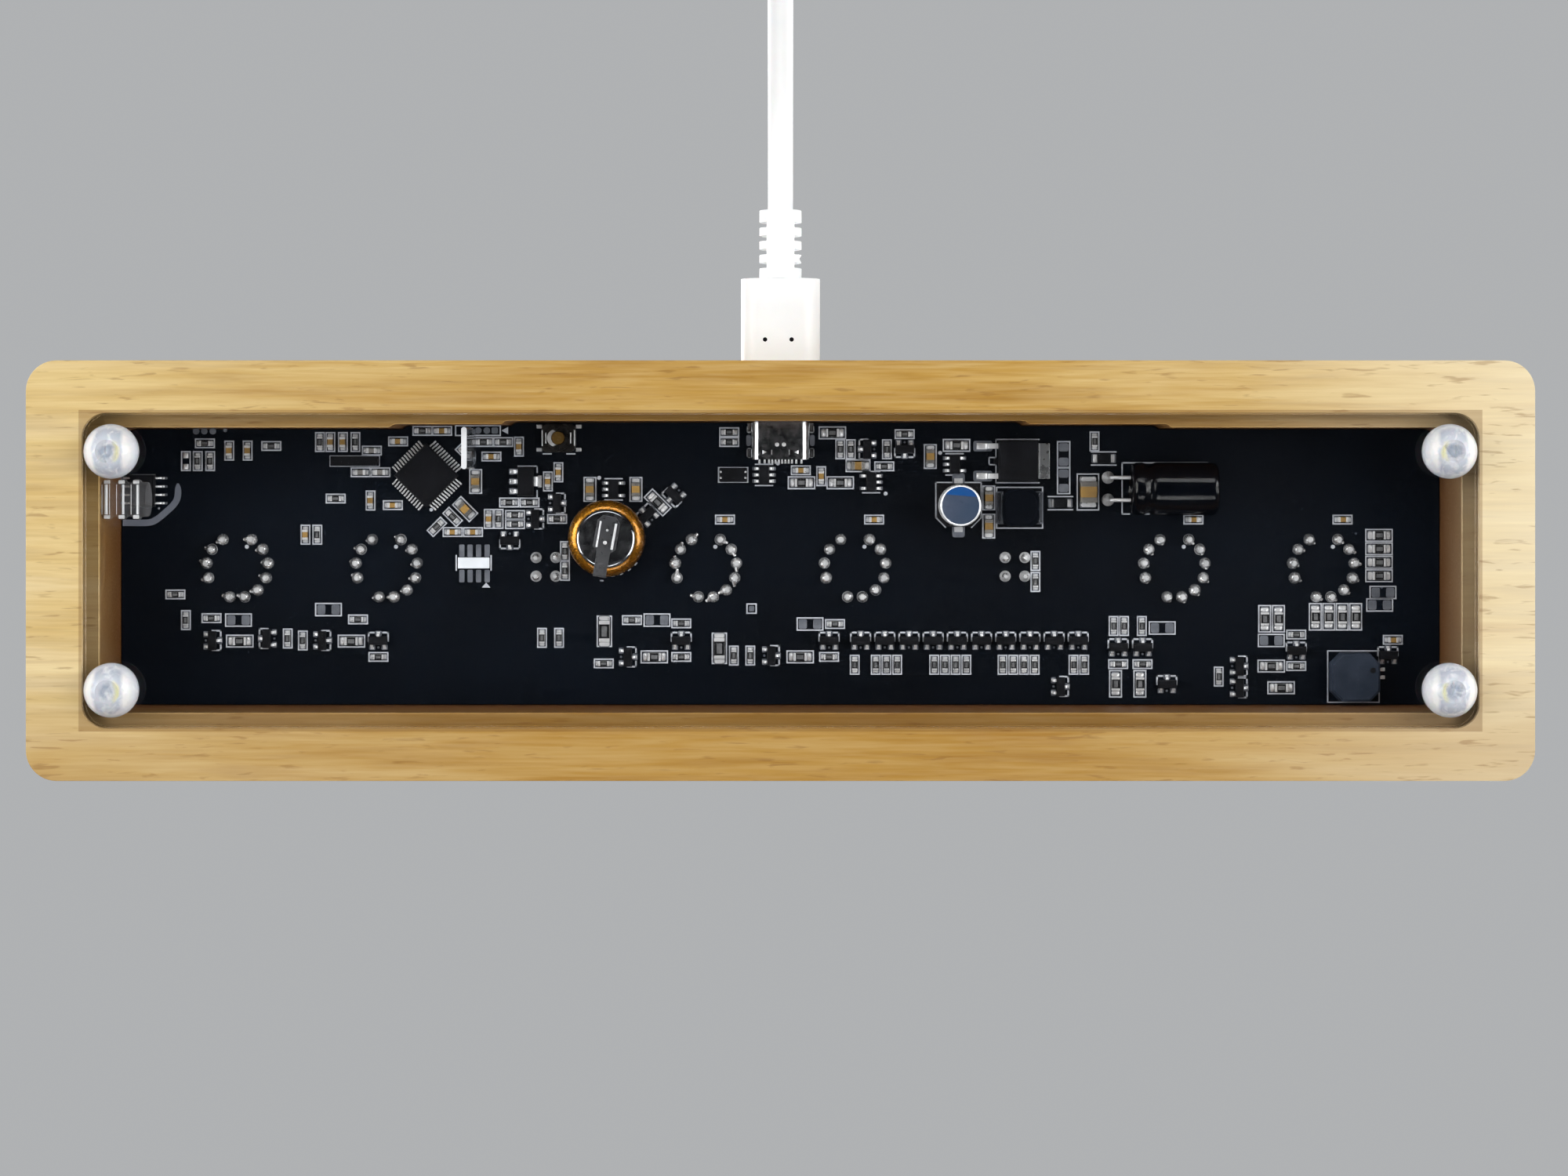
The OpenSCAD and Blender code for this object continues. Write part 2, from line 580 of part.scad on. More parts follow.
module main_board() {
    color([0.04, 0.06, 0.1]) translate([0, 0, board_bottom]) linear_extrude(board_thickness) difference() {
        cavity_outline(board_gap);
        for (x = tube_x) translate([x, 0]) lead_holes(lead_d + 2 * lead_gap);
        for (side = [-1, 1]) translate([side * colon_x, 0])
            colon_spots() circle(lamp_lead_r + lead_gap, $fn = 16);
        for (s = [-1, 1]) translate(laid(hv_cap_spot) + [hv_lead_x(), s * hv_lead_pitch / 2])
            circle(lamp_lead_r + lead_gap, $fn = 16);
    }
}

// A lead through the board, with its cone of solder underneath
module soldered_end(r) {
    translate([0, 0, board_bottom - lead_length_under]) cylinder(h = lead_length_under + board_thickness, r = r, $fn = 16);
    translate([0, 0, board_bottom - solder_height]) cylinder(h = solder_height, r1 = r + 0.1, r2 = solder_d / 2, $fn = 24);
}

// ---- nixie tubes ----

module tube_spacers() {
    color("whitesmoke") for (x = tube_x) translate([x, 0, board_top]) linear_extrude(spacer_height) difference() {
        circle(d = spacer_d);
        lead_holes(lead_d + 2 * lead_gap);
    }
}

// Half the outline of the glass at a distance inside its outer face
module glass_profile(inset) {
    r = tube_d / 2 - inset;
    base = inset > 0 ? glass_base : 0;
    translate([0, base]) square([r, glass_height - tube_d / 2 - base]);
    translate([0, glass_height - tube_d / 2]) intersection() {
        circle(r);
        square(r);
    }
}

module tube_glass(n) {
    color("white", 0.3) translate([tube_x[n - 1], 0, glass_z]) rotate_extrude() difference() {
        union() {
            glass_profile(0);
            translate([0, glass_height - glass_wall / 2])
                polygon([[0, 0], [2.2, 0], [1.3, glass_wall / 2 + 0.8], [0.5, glass_wall / 2 + tip_height], [0, glass_wall / 2 + tip_height]]);
        }
        glass_profile(glass_wall);
    }
}

module bar(x0, y0, x1, y1) {
    length = norm([x1 - x0, y1 - y0]);
    translate([x0, y0]) rotate(atan2(y1 - y0, x1 - x0)) translate([0, -stroke / 2]) square([length, stroke]);
}

// A stroke that follows a circle's outline from angle a0 to angle a1
module bow(x, y, r, a0, a1) {
    reach = 2 * r + stroke;
    translate([x, y]) intersection() {
        difference() {
            circle(r + stroke / 2);
            circle(r - stroke / 2);
        }
        polygon(concat([[0, 0]], [for (i = [0:6]) let (a = a0 + (a1 - a0) * i / 6) reach * [cos(a), sin(a)]]));
    }
}

// The ten numerals, as outlines of one stroke about their middle
module numeral(value) {
    w = digit_width / 2 - stroke / 2;
    h = digit_height / 2 - stroke / 2;
    r = min(w, h / 2);
    if (value == 0) {
        bow(0, h - w, w, 0, 180);
        bow(0, w - h, w, 180, 360);
        for (s = [-1, 1]) bar(s * w, w - h, s * w, h - w);
    }
    if (value == 1) {
        bar(0, -h - stroke / 2, 0, h + stroke / 2);
        bar(-w * 0.6, h - w * 0.7, 0, h);
    }
    if (value == 2) {
        bow(0, h - r, r, -20, 180);
        bar(r * cos(20), h - r - r * sin(20), -w, -h);
        bar(-w - stroke / 2, -h, w + stroke / 2, -h);
    }
    if (value == 3) {
        bow(0, h - r, r, -90, 150);
        bow(0, r - h, r, -150, 90);
    }
    if (value == 4) {
        bar(w * 0.2, -h - stroke / 2, w * 0.2, h + stroke / 2);
        bar(w * 0.2, h, -w, -h * 0.35);
        bar(-w - stroke / 2, -h * 0.35, w + stroke / 2, -h * 0.35);
    }
    if (value == 5) rotate(180) numeral(2);
    if (value == 6) {
        bow(0, r - h, r, 0, 360);
        bow(r * 0.9, r - h, 1.9 * r, 112, 180);
    }
    if (value == 7) {
        bar(-w - stroke / 2, h, w + stroke / 2, h);
        bar(w, h, -w * 0.2, -h);
    }
    if (value == 8) {
        bow(0, h - r, r, 0, 360);
        bow(0, r - h, r, 0, 360);
    }
    if (value == 9) rotate(180) numeral(6);
}

// The order in which the numerals stand behind the mesh, from the front
stack_order = [1, 6, 2, 7, 5, 0, 4, 9, 8, 3];

module tube_cathodes(n) {
    color("silver") translate([tube_x[n - 1], 0, digit_z]) {
        for (i = [0:digit_count - 1])
            translate([0, -stack_depth / 2 + i * digit_pitch + digit_thickness, 0]) rotate([90, 0, 0])
                linear_extrude(digit_thickness) {
                    numeral(stack_order[i]);
                    for (s = [-1, 1]) translate([0, s * (digit_height / 2 + post_r - stroke / 2)])
                        square([2 * stroke, stroke + 2 * post_r], center = true);
                }
        // The posts reach from the cage's mesh to its back wall
        for (s = [-1, 1]) translate([0, post_length / 2, s * (digit_height / 2 + post_r)])
            rotate([90, 0, 0]) cylinder(h = post_length, r = post_r, $fn = 24);
    }
}

module tube_anode(n) {
    color("dimgray") translate([tube_x[n - 1], 0, stack_z]) {
        for (z = [0, mica_thickness + cage_height]) translate([0, 0, z]) cylinder(h = mica_thickness, d = mica_d);
        // Back and side walls of the cage
        translate([0, 0, mica_thickness]) linear_extrude(cage_height) difference() {
            square([cage_w, cage_depth], center = true);
            translate([0, -cage_sheet]) square([cage_w - 2 * cage_sheet, cage_depth], center = true);
        }
        // Honeycomb across the front
        translate([0, -cage_depth / 2 + cage_sheet, mica_thickness]) rotate([90, 0, 0])
            linear_extrude(cage_sheet) difference() {
                translate([-cage_w / 2, 0]) square([cage_w, cage_height]);
                honeycomb();
            }
        // Getter ring on its stalk
        translate([0, 0, 2 * mica_thickness + cage_height]) {
            translate([getter_r, 0, 0]) cylinder(h = 3, r = getter_wire_r, $fn = 16);
            translate([0, 0, 3]) rotate_extrude() translate([getter_r, 0]) circle(getter_wire_r, $fn = 16);
        }
    }
}

module honeycomb() {
    row_pitch = mesh_cell * sqrt(3) / 2;
    cell_r = (mesh_cell - mesh_wire) / sqrt(3);
    columns = floor((cage_w - 1) / mesh_cell);
    rows = floor((cage_height - 1) / row_pitch);
    for (j = [0:rows - 1]) for (i = [0:columns - 1 - j % 2])
        translate([(i - (columns - 1 - j % 2) / 2) * mesh_cell, cage_height / 2 + (j - (rows - 1) / 2) * row_pitch])
            rotate(30) circle(cell_r, $fn = 6);
}

module tube_leads(n) {
    color("silver") translate([tube_x[n - 1], 0, 0]) for (a = lead_spots) rotate([0, 0, a]) translate([lead_circle_d / 2, 0, 0]) {
        soldered_end(lead_d / 2);
        translate([0, 0, board_top - nib]) cylinder(h = spacer_height + nib, d = lead_d, $fn = 16);
        translate([0, 0, glass_floor_z]) cylinder(h = stack_lift, d = lead_d, $fn = 16);
    }
}

// ---- colon lamps ----

// Where the lower and the upper lamp of a colon stand: [y, z]
lamp_places = [[lower_lamp_y, lower_lamp_z], [0, upper_lamp_z]];

module colon_glass(side) {
    color("white", 0.35) for (p = lamp_places) translate([side * colon_x, p[0], p[1]]) rotate_extrude() difference() {
        lamp_profile(0);
        lamp_profile(lamp_wall);
    }
}

module lamp_profile(inset) {
    r = lamp_d / 2 - inset;
    translate([0, inset * 2]) square([r, lamp_length - lamp_d / 2 - inset * 2]);
    translate([0, lamp_length - lamp_d / 2]) intersection() {
        circle(r, $fn = 32);
        square(r);
    }
}

module colon_leads(side) {
    electrode_gap = 1;
    color("silver") translate([side * colon_x, 0, 0]) for (row = [0, 1]) for (s = [-1, 1]) {
        y = (row - 0.5) * lamp_row_pitch;
        place = lamp_places[row];
        translate([s * lamp_lead_pitch / 2, y, 0]) {
            soldered_end(lamp_lead_r);
            translate([0, 0, board_top - nib]) cylinder(h = place[1] - board_top + nib, r = lamp_lead_r, $fn = 16);
            translate([0, 0, board_top + sleeve_start])
                cylinder(h = place[1] - board_top - sleeve_start - 0.5, r = sleeve_r, $fn = 20);
        }
        // The electrode inside the glass
        translate([s * electrode_gap, place[0], place[1] + 2 * lamp_wall])
            cylinder(h = lamp_length * 0.45, r = lamp_lead_r + 0.1, $fn = 16);
    }
}

// ---- power port ----

module usb_receptacle() {
    color("silver") {
        difference() {
            flat_bar(port_w, port_h, port_back_y, port_mouth_y, port_z);
            flat_bar(port_inner_w, port_inner_h, port_back_y + port_back_wall, port_mouth_y + 1, port_z);
        }
        translate([-tongue_w / 2, port_back_y + port_back_wall - nib, port_z - tongue_h / 2])
            cube([tongue_w, tongue_length, tongue_h]);
        // Legs that solder the shell to the board
        for (sx = [-1, 1]) for (y = [port_back_y + 0.3, port_back_y + 4.2])
            translate([sx * (port_w / 2 + 0.2) - 0.35, y, board_bottom - 1.6]) cube([0.7, 1.3, 1.6]);
    }
}

// ---- larger parts under the board ----

// Legs of one side of a chip, bent like a gull's wing: from the body at x0 out to x1
module gull_leg(x0, x1, width, shoulder_z) {
    knee = (x0 + x1) / 2;
    translate([x0 - 0.1, -width / 2, shoulder_z - 0.15]) cube([knee - x0 + 0.1, width, 0.15]);
    translate([knee - 0.15, -width / 2, 0]) cube([0.15, width, shoulder_z]);
    translate([knee - 0.15, -width / 2, 0]) cube([x1 - knee + 0.15, width, 0.15]);
}

module microcontroller() {
    leg_count = 12;
    leg_pitch = 0.5;
    color("dimgray") under_board(mcu_spot, 45) {
        block([mcu_w, mcu_w, 1.4], 0.1);
        for (side = [0:3]) rotate([0, 0, side * 90]) for (i = [0:leg_count - 1])
            translate([0, (i - (leg_count - 1) / 2) * leg_pitch, 0]) gull_leg(mcu_w / 2, mcu_w / 2 + 1, 0.22, 0.8);
    }
}

module clock_chip() {
    color("dimgray") under_board(clock_chip_spot, 0) {
        block([3.9, 4.9, 1.4], 0.1);
        for (side = [0, 180]) rotate([0, 0, side]) for (i = [0:3])
            translate([0, (i - 1.5) * 1.27, 0]) gull_leg(1.95, 3, 0.4, 0.9);
    }
}

module backup_cell() {
    sleeve_wall = 1.3;
    sleeve_lift = 1.3;
    tab_w = 2.6;
    color("goldenrod") under_board(cell_spot, 0) {
        rotate_extrude() {
            translate([0, 0.1]) square([cell_d / 2 - sleeve_wall, cell_height - 0.1]);
            translate([0, sleeve_lift]) square([cell_d / 2, cell_height - sleeve_wall - sleeve_lift]);
            translate([cell_d / 2 - sleeve_wall, cell_height - sleeve_wall]) circle(sleeve_wall);
        }
        // Welded tab across the top, bent down over the edge to its joint on the board
        rotate([0, 0, -8]) {
            translate([-tab_w / 2, -cell_d / 2 - 0.6, cell_height - nib]) cube([tab_w, cell_d / 2 + 3.6, 0.25]);
            translate([-tab_w / 2, -cell_d / 2 - 0.6, 0]) cube([tab_w, 0.25, cell_height]);
        }
    }
}

function hv_lead_x() = hv_cap_length / 2 + 2.8;

module high_voltage_capacitor() {
    r = hv_cap_d / 2;
    groove_r = 0.5;
    lead_z = 0.6 + r;
    color([0.12, 0.1, 0.16]) under_board(hv_cap_spot, 0) {
        translate([hv_cap_length / 2, 0, lead_z - 0.5]) rotate([0, -90, 0]) rotate_extrude() difference() {
            union() {
                translate([0, 1]) square([r, hv_cap_length - 2]);
                square([r - 1, hv_cap_length]);
                for (y = [1, hv_cap_length - 1]) translate([r - 1, y]) circle(1);
            }
            translate([r + 0.1, 2.6]) circle(groove_r);
        }
        for (s = [-1, 1]) translate([0, s * hv_lead_pitch / 2, 0]) {
            translate([hv_cap_length / 2 - nib, 0, lead_z - 0.5]) rotate([0, 90, 0]) cylinder(h = 2.8 + nib, r = lamp_lead_r, $fn = 16);
            translate([hv_lead_x(), 0, 0]) {
                translate([0, 0, -board_thickness]) cylinder(h = lead_z - 0.5 + board_thickness + lamp_lead_r, r = lamp_lead_r, $fn = 16);
                cylinder(h = 0.9, r1 = 1, r2 = lamp_lead_r + 0.1, $fn = 24);
            }
        }
    }
}

module can_capacitor() {
    base_w = 6.6;
    base_h = 1.2;
    chamfer = 1.4;
    r = can_cap_d / 2;
    b = base_w / 2;
    color("lightsteelblue") under_board(can_cap_spot, 0) {
        linear_extrude(base_h) polygon([[-b, b], [b, b], [b, chamfer - b], [b - chamfer, -b], [chamfer - b, -b], [-b, chamfer - b]]);
        rotate_extrude() difference() {
            union() {
                translate([0, base_h - nib]) square([r, can_cap_height - base_h - 0.6]);
                translate([0, base_h]) square([r - 0.6, can_cap_height - base_h]);
                translate([r - 0.6, can_cap_height - 0.6]) circle(0.6, $fn = 32);
            }
            translate([r + 0.2, base_h + 0.9]) circle(0.45, $fn = 24);
        }
        for (s = [-1, 1]) translate([0, s * (b + 0.3), 0]) block([1.6, 1.4, 0.25]);
    }
}

module power_inductor() {
    color([0.15, 0.16, 0.18]) under_board(inductor_spot, 0) {
        rounded_plate(inductor_w, inductor_w, inductor_height, 1.2);
        for (s = [-1, 1]) translate([s * inductor_w / 2, 0, 0]) block([1, inductor_w * 0.75, 0.9]);
    }
}

module power_transistor() {
    color("dimgray") under_board(power_transistor_spot, 0) {
        block([6.1, 6.4, 2.2], 0.1);
        translate([-3.6, 0, 0]) block([2.6, 5.2, 0.55]);
        for (s = [-1, 1]) translate([0, s * 2.28, 0]) gull_leg(3.05, 5.8, 0.8, 1.1);
        translate([3.2, 0, 0.7]) block([0.9, 0.8, 0.5]);
    }
}

module buzzer() {
    chamfer = 1.6;
    b = buzzer_w / 2;
    color([0.2, 0.22, 0.26]) under_board(buzzer_spot, 0) {
        linear_extrude(buzzer_height) difference() {
            polygon([[-b, b - chamfer], [chamfer - b, b], [b - chamfer, b], [b, b - chamfer],
                     [b, chamfer - b], [b - chamfer, -b], [chamfer - b, -b], [-b, chamfer - b]]);
            translate([-b, 1.1]) circle(0.5, $fn = 24);
        }
        block([buzzer_w + 0.5, buzzer_w - 2 * chamfer, 0.4]);
    }
}

// ---- reset switch and its button ----

reset_bore_r = reset_cap_d / 2 + reset_clearance;
reset_flange_r = reset_cap_d / 2 + reset_flange;
reset_cover = 0.35;
reset_flange_h = 0.4;

module reset_switch() {
    well = reset_flange_h + reset_travel + 2 * reset_clearance;
    leg_x = reset_w / 2 + 0.4;
    color("silver") under_board(reset_spot, 0) {
        difference() {
            linear_extrude(reset_height) rounded_square(reset_w, reset_depth, 0.5);
            translate([0, 0, reset_height - reset_cover - well])
                cylinder(h = well, r = reset_flange_r + reset_clearance, $fn = 32);
            translate([0, 0, reset_height - reset_cover - nib]) cylinder(h = reset_cover + 1, r = reset_bore_r, $fn = 32);
        }
        for (sx = [-1, 1]) for (sy = [-1, 1]) translate([sx * leg_x, sy * 1.75, 0]) block([1, 0.6, 0.3]);
    }
}

module reset_button() {
    color("tan") under_board(reset_spot, 0) {
        translate([0, 0, reset_height - reset_cover - reset_clearance - reset_flange_h])
            cylinder(h = reset_flange_h, r = reset_flange_r, $fn = 32);
        translate([0, 0, reset_height - reset_cover - reset_clearance - nib])
            cylinder(h = reset_cover + reset_cap_reach + reset_clearance + nib, d = reset_cap_d, $fn = 32);
    }
}

// ---- clear parts ----

module light_guide() {
    end_x = wall_x - reset_clearance;
    color("white", 0.5) translate([end_x, guide_y, guide_z]) rotate([0, -90, 0]) rotate_extrude() {
        translate([0, -guide_spigot]) square([guide_neck_d / 2, guide_length + guide_spigot]);
        for (i = [0:guide_ribs - 1]) translate([0, i * guide_rib_pitch]) {
            square([guide_rib_d / 2 - guide_rib_w / 2, guide_rib_w]);
            translate([guide_rib_d / 2 - guide_rib_w / 2, guide_rib_w / 2]) circle(guide_rib_w / 2, $fn = 24);
        }
    }
}

module light_fin() {
    color("white", 0.6) under_board(fin_spot, 90)
        linear_extrude(fin_height) rounded_square(fin_length, fin_thickness, fin_thickness / 2 - nib);
}

// ---- chips ----

// A two-ended chip: a body between two slightly larger metal ends
module chip(size, spot) {
    end = size[0] * 0.22;
    rim = 0.03;
    under_board(spot, spot[2]) {
        block([size[0] - 2 * rim, size[1] - 2 * rim, size[2] - rim], nib);
        for (s = [-1, 1]) translate([s * (size[0] - end) / 2, 0, 0]) block([end, size[1], size[2]]);
    }
}

module chip_resistors() {
    color([0.1, 0.1, 0.12]) {
        for (spot = resistor_spots) chip(resistor_size, spot);
        for (row = resistor_rows) for (i = [0:row[1] - 1])
            chip(resistor_size, [row[0] - i * resistor_row_pitch, resistor_row_y, 90]);
        for (spot = large_resistor_spots) chip(large_resistor_size, spot);
        for (spot = wide_resistor_spots) chip(wide_resistor_size, spot);
        for (i = [0:3]) {
            chip(large_resistor_size, [large_resistor_columns_x - i * large_resistor_pitch, large_resistor_columns_y, 90]);
            chip(large_resistor_size, [large_resistor_stack_x, large_resistor_stack_y - i * large_resistor_pitch, 0]);
        }
    }
}

module chip_capacitors() {
    color([0.6, 0.45, 0.25]) {
        for (spot = capacitor_spots) chip(capacitor_size, spot);
        for (i = [0:3])
            chip(capacitor_size, [tube_x[i] + tube_capacitor_shift[0], tube_capacitor_shift[1], 0, "tube"]);
        for (spot = large_capacitor_spots) chip(large_capacitor_size, spot);
        for (spot = bulk_capacitor_spots) chip(bulk_capacitor_size, spot);
    }
}

// A small body with legs at its front side and fewer at its back side
module legged_body(length, depth, height, span, front_x, back_x, leg_w) {
    block([length, depth, height], 0.1);
    for (x = front_x) translate([x, 0, 0]) rotate([0, 0, -90]) gull_leg(depth / 2, span / 2, leg_w, height / 2);
    for (x = back_x) translate([x, 0, 0]) rotate([0, 0, 90]) gull_leg(depth / 2, span / 2, leg_w, height / 2);
}

module three_legged(spot) {
    under_board(spot, spot[2]) legged_body(2.9, 1.3, 1, 2.5, [-0.95, 0.95], [0], 0.42);
}

module small_transistors() {
    color([0.1, 0.1, 0.11]) {
        for (spot = transistor_spots) three_legged(spot);
        for (i = [0:driver_count - 1]) three_legged([driver_start_x - i * driver_pitch, driver_y, 0]);
    }
}

module small_chips() {
    color([0.1, 0.1, 0.11]) {
        for (spot = small_chip_spots) under_board(spot, spot[2])
            legged_body(2.9, 1.6, 1.1, 2.8, spot[3] == 3 ? [-0.95, 0, 0.95] : [-0.95, 0.95], [-0.95, 0, 0.95], 0.4);
        under_board(regulator_spot, 90) legged_body(4.5, 2.5, 1.5, 4.6, [-1.5, 0, 1.5], [0], 0.6);
        for (spot = diode_spots) chip(diode_size, spot);
        under_board(crystal_spot) block([4.4, 2.3, 0.8]);
        under_board(fork_crystal_spot) block([7.4, 1.4, 1.1]);
    }
}

// ---- plug and cable ----

module plug_shell() {
    color("silver") difference() {
        flat_bar(plug_w, plug_h, plug_tip_y, grip_front_y, port_z);
        flat_bar(plug_w - 2 * plug_wall, plug_h - 2 * plug_wall, plug_tip_y - 1, grip_front_y - 0.4, port_z);
    }
}

module plug_grip() {
    web = cord_d + 0.4;
    color("white") {
        flat_bar(grip_w, grip_h, grip_front_y, grip_back_y, port_z);
        difference() {
            translate([0, grip_back_y - nib, port_z]) rotate([-90, 0, 0]) cylinder(h = relief_length + nib, d = relief_d);
            for (i = [0:relief_slots - 1]) for (s = [-1, 1])
                translate([s * (web / 2 + 2) - 2, grip_back_y + 1.6 + i * relief_slot_pitch, port_z - relief_d])
                    cube([4, relief_slot_w, 2 * relief_d]);
        }
    }
}

module cable_lead() {
    color("white") sweep_tube(lead_points, cord_r, lead_sides);
}

module cable_coil() {
    color("white") sweep_tube(coil_points, cord_r, coil_sides);
}

module cable_tail() {
    color("white") sweep_tube(tail_points, cord_r, lead_sides);
}

module wall_plug_grip() {
    color("white") translate([tail_end[0], tail_end[1], far_plug_z]) {
        rotate([0, -90, 0]) cylinder(h = far_relief_length + nib, d1 = far_relief_d - 1, d2 = far_relief_d);
        translate([-far_relief_length - far_grip_length, 0, 0]) rotate([90, 0, 90])
            linear_extrude(far_grip_length) rounded_square(far_grip_w, far_grip_h, 2);
    }
}

module wall_plug_shell() {
    shell_wall = 0.3;
    mouth = far_relief_length + far_grip_length + far_shell_length;
    color("silver") translate([tail_end[0] - mouth, tail_end[1], far_plug_z]) {
        difference() {
            translate([0, -far_shell_w / 2, -far_shell_h / 2]) cube([far_shell_length, far_shell_w, far_shell_h]);
            translate([-1, shell_wall - far_shell_w / 2, shell_wall - far_shell_h / 2])
                cube([far_shell_length, far_shell_w - 2 * shell_wall, far_shell_h - 2 * shell_wall]);
            for (s = [-1, 1]) translate([4, s * 2.6 - 1.1, -far_shell_h]) cube([2.4, 2.2, 2 * far_shell_h]);
        }
        translate([1.5, -far_shell_w / 2 + shell_wall, 0]) cube([far_shell_length - 1.5, far_shell_w - 2 * shell_wall, 1.9 - shell_wall]);
    }
}

// ---- nodes ----

wood_case();
base_panel();
foot(-1, -1);  // foot_front_left
foot(1, -1);  // foot_front_right
foot(-1, 1);  // foot_rear_left
foot(1, 1);  // foot_rear_right
main_board();
tube_spacers();
for (n = [1:tube_count]) {
    tube_glass(n);
    tube_cathodes(n);
    tube_anode(n);
    tube_leads(n);
}
colon_glass(-1);  // colon_glass_left
colon_glass(1);  // colon_glass_right
colon_leads(-1);  // colon_leads_left
colon_leads(1);  // colon_leads_right
usb_receptacle();
microcontroller();
clock_chip();
backup_cell();
high_voltage_capacitor();
can_capacitor();
power_inductor();
power_transistor();
reset_switch();
reset_button();
buzzer();
light_guide();
light_fin();
chip_resistors();
chip_capacitors();
small_transistors();
small_chips();
plug_shell();
plug_grip();
cable_lead();
cable_coil();
cable_tail();
wall_plug_shell();
wall_plug_grip();
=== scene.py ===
"""The looks of a six-digit nixie tube clock, seen from below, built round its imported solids."""

import math
import random

import bmesh
import bpy
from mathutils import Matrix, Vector


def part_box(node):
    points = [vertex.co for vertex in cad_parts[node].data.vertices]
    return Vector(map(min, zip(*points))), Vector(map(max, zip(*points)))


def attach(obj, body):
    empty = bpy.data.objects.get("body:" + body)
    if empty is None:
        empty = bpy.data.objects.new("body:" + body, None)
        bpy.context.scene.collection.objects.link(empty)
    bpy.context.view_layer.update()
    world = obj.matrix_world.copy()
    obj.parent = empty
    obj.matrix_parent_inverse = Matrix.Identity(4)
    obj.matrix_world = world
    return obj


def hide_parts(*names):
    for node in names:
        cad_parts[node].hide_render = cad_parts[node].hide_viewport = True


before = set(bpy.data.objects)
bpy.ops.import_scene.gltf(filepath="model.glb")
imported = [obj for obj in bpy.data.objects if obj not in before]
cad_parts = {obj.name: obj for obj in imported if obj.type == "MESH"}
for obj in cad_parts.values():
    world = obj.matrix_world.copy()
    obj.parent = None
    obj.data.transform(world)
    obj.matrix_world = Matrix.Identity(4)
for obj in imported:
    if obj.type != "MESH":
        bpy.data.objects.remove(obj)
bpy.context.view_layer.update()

MM = 0.001
RNG = random.Random(6)
SIDES = (-1, 1)
CORNERS = ((-1, -1), (1, -1), (1, 1), (-1, 1))
QUARTERS = [(sx, sy) for sx in SIDES for sy in SIDES]



def placed(name, data):
    """An object of some data, linked into the scene."""
    obj = bpy.data.objects.new(name, data)
    bpy.context.scene.collection.objects.link(obj)
    return obj


# ---- camera, matched to the photograph ----

PHOTO_SIZE = (2000, 1500)
FOCAL_PX = 3858
PRINCIPAL_PX = (995.5, 594)
SENSOR_MM = 36
CAMERA_AT = (0, 0.0154, -0.440)

camera_data = bpy.data.cameras.new("camera")
camera_data.sensor_fit = "HORIZONTAL"
camera_data.sensor_width = SENSOR_MM
camera_data.lens = FOCAL_PX / PHOTO_SIZE[0] * SENSOR_MM
camera_data.shift_x = (PHOTO_SIZE[0] / 2 - PRINCIPAL_PX[0]) / PHOTO_SIZE[0]
camera_data.shift_y = (PRINCIPAL_PX[1] - PHOTO_SIZE[1] / 2) / PHOTO_SIZE[0]
camera_data.clip_start = 0.01
camera = placed("camera", camera_data)
camera.location = CAMERA_AT
camera.rotation_euler = (0, math.pi, 0)
bpy.context.scene.camera = camera

# ---- materials ----

foot_low, foot_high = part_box("foot_rear_right")
FOOT_AT = abs(foot_low.x + foot_high.x) / 2, abs(foot_low.y + foot_high.y) / 2
panel_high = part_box("base_panel")[1]
# How far the painted shade reaches inside the cavity and the recess
CAVITY_REACH = panel_high.x - 0.001, panel_high.y - 0.0005
RECESS_REACH = CAVITY_REACH[0] + 0.0016, CAVITY_REACH[1] + 0.0011
# The case's top face keeps its own tone, out of the painted shade on the walls
CAVITY_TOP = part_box("wood_case")[1].z - 0.002


def linear(r, g, b):
    """A colour picked in sRGB, 0 to 255, as the linear values that Blender's sockets take."""
    def one(v):
        v /= 255
        return v / 12.92 if v <= 0.04045 else ((v + 0.055) / 1.055) ** 2.4
    return (one(r), one(g), one(b), 1)


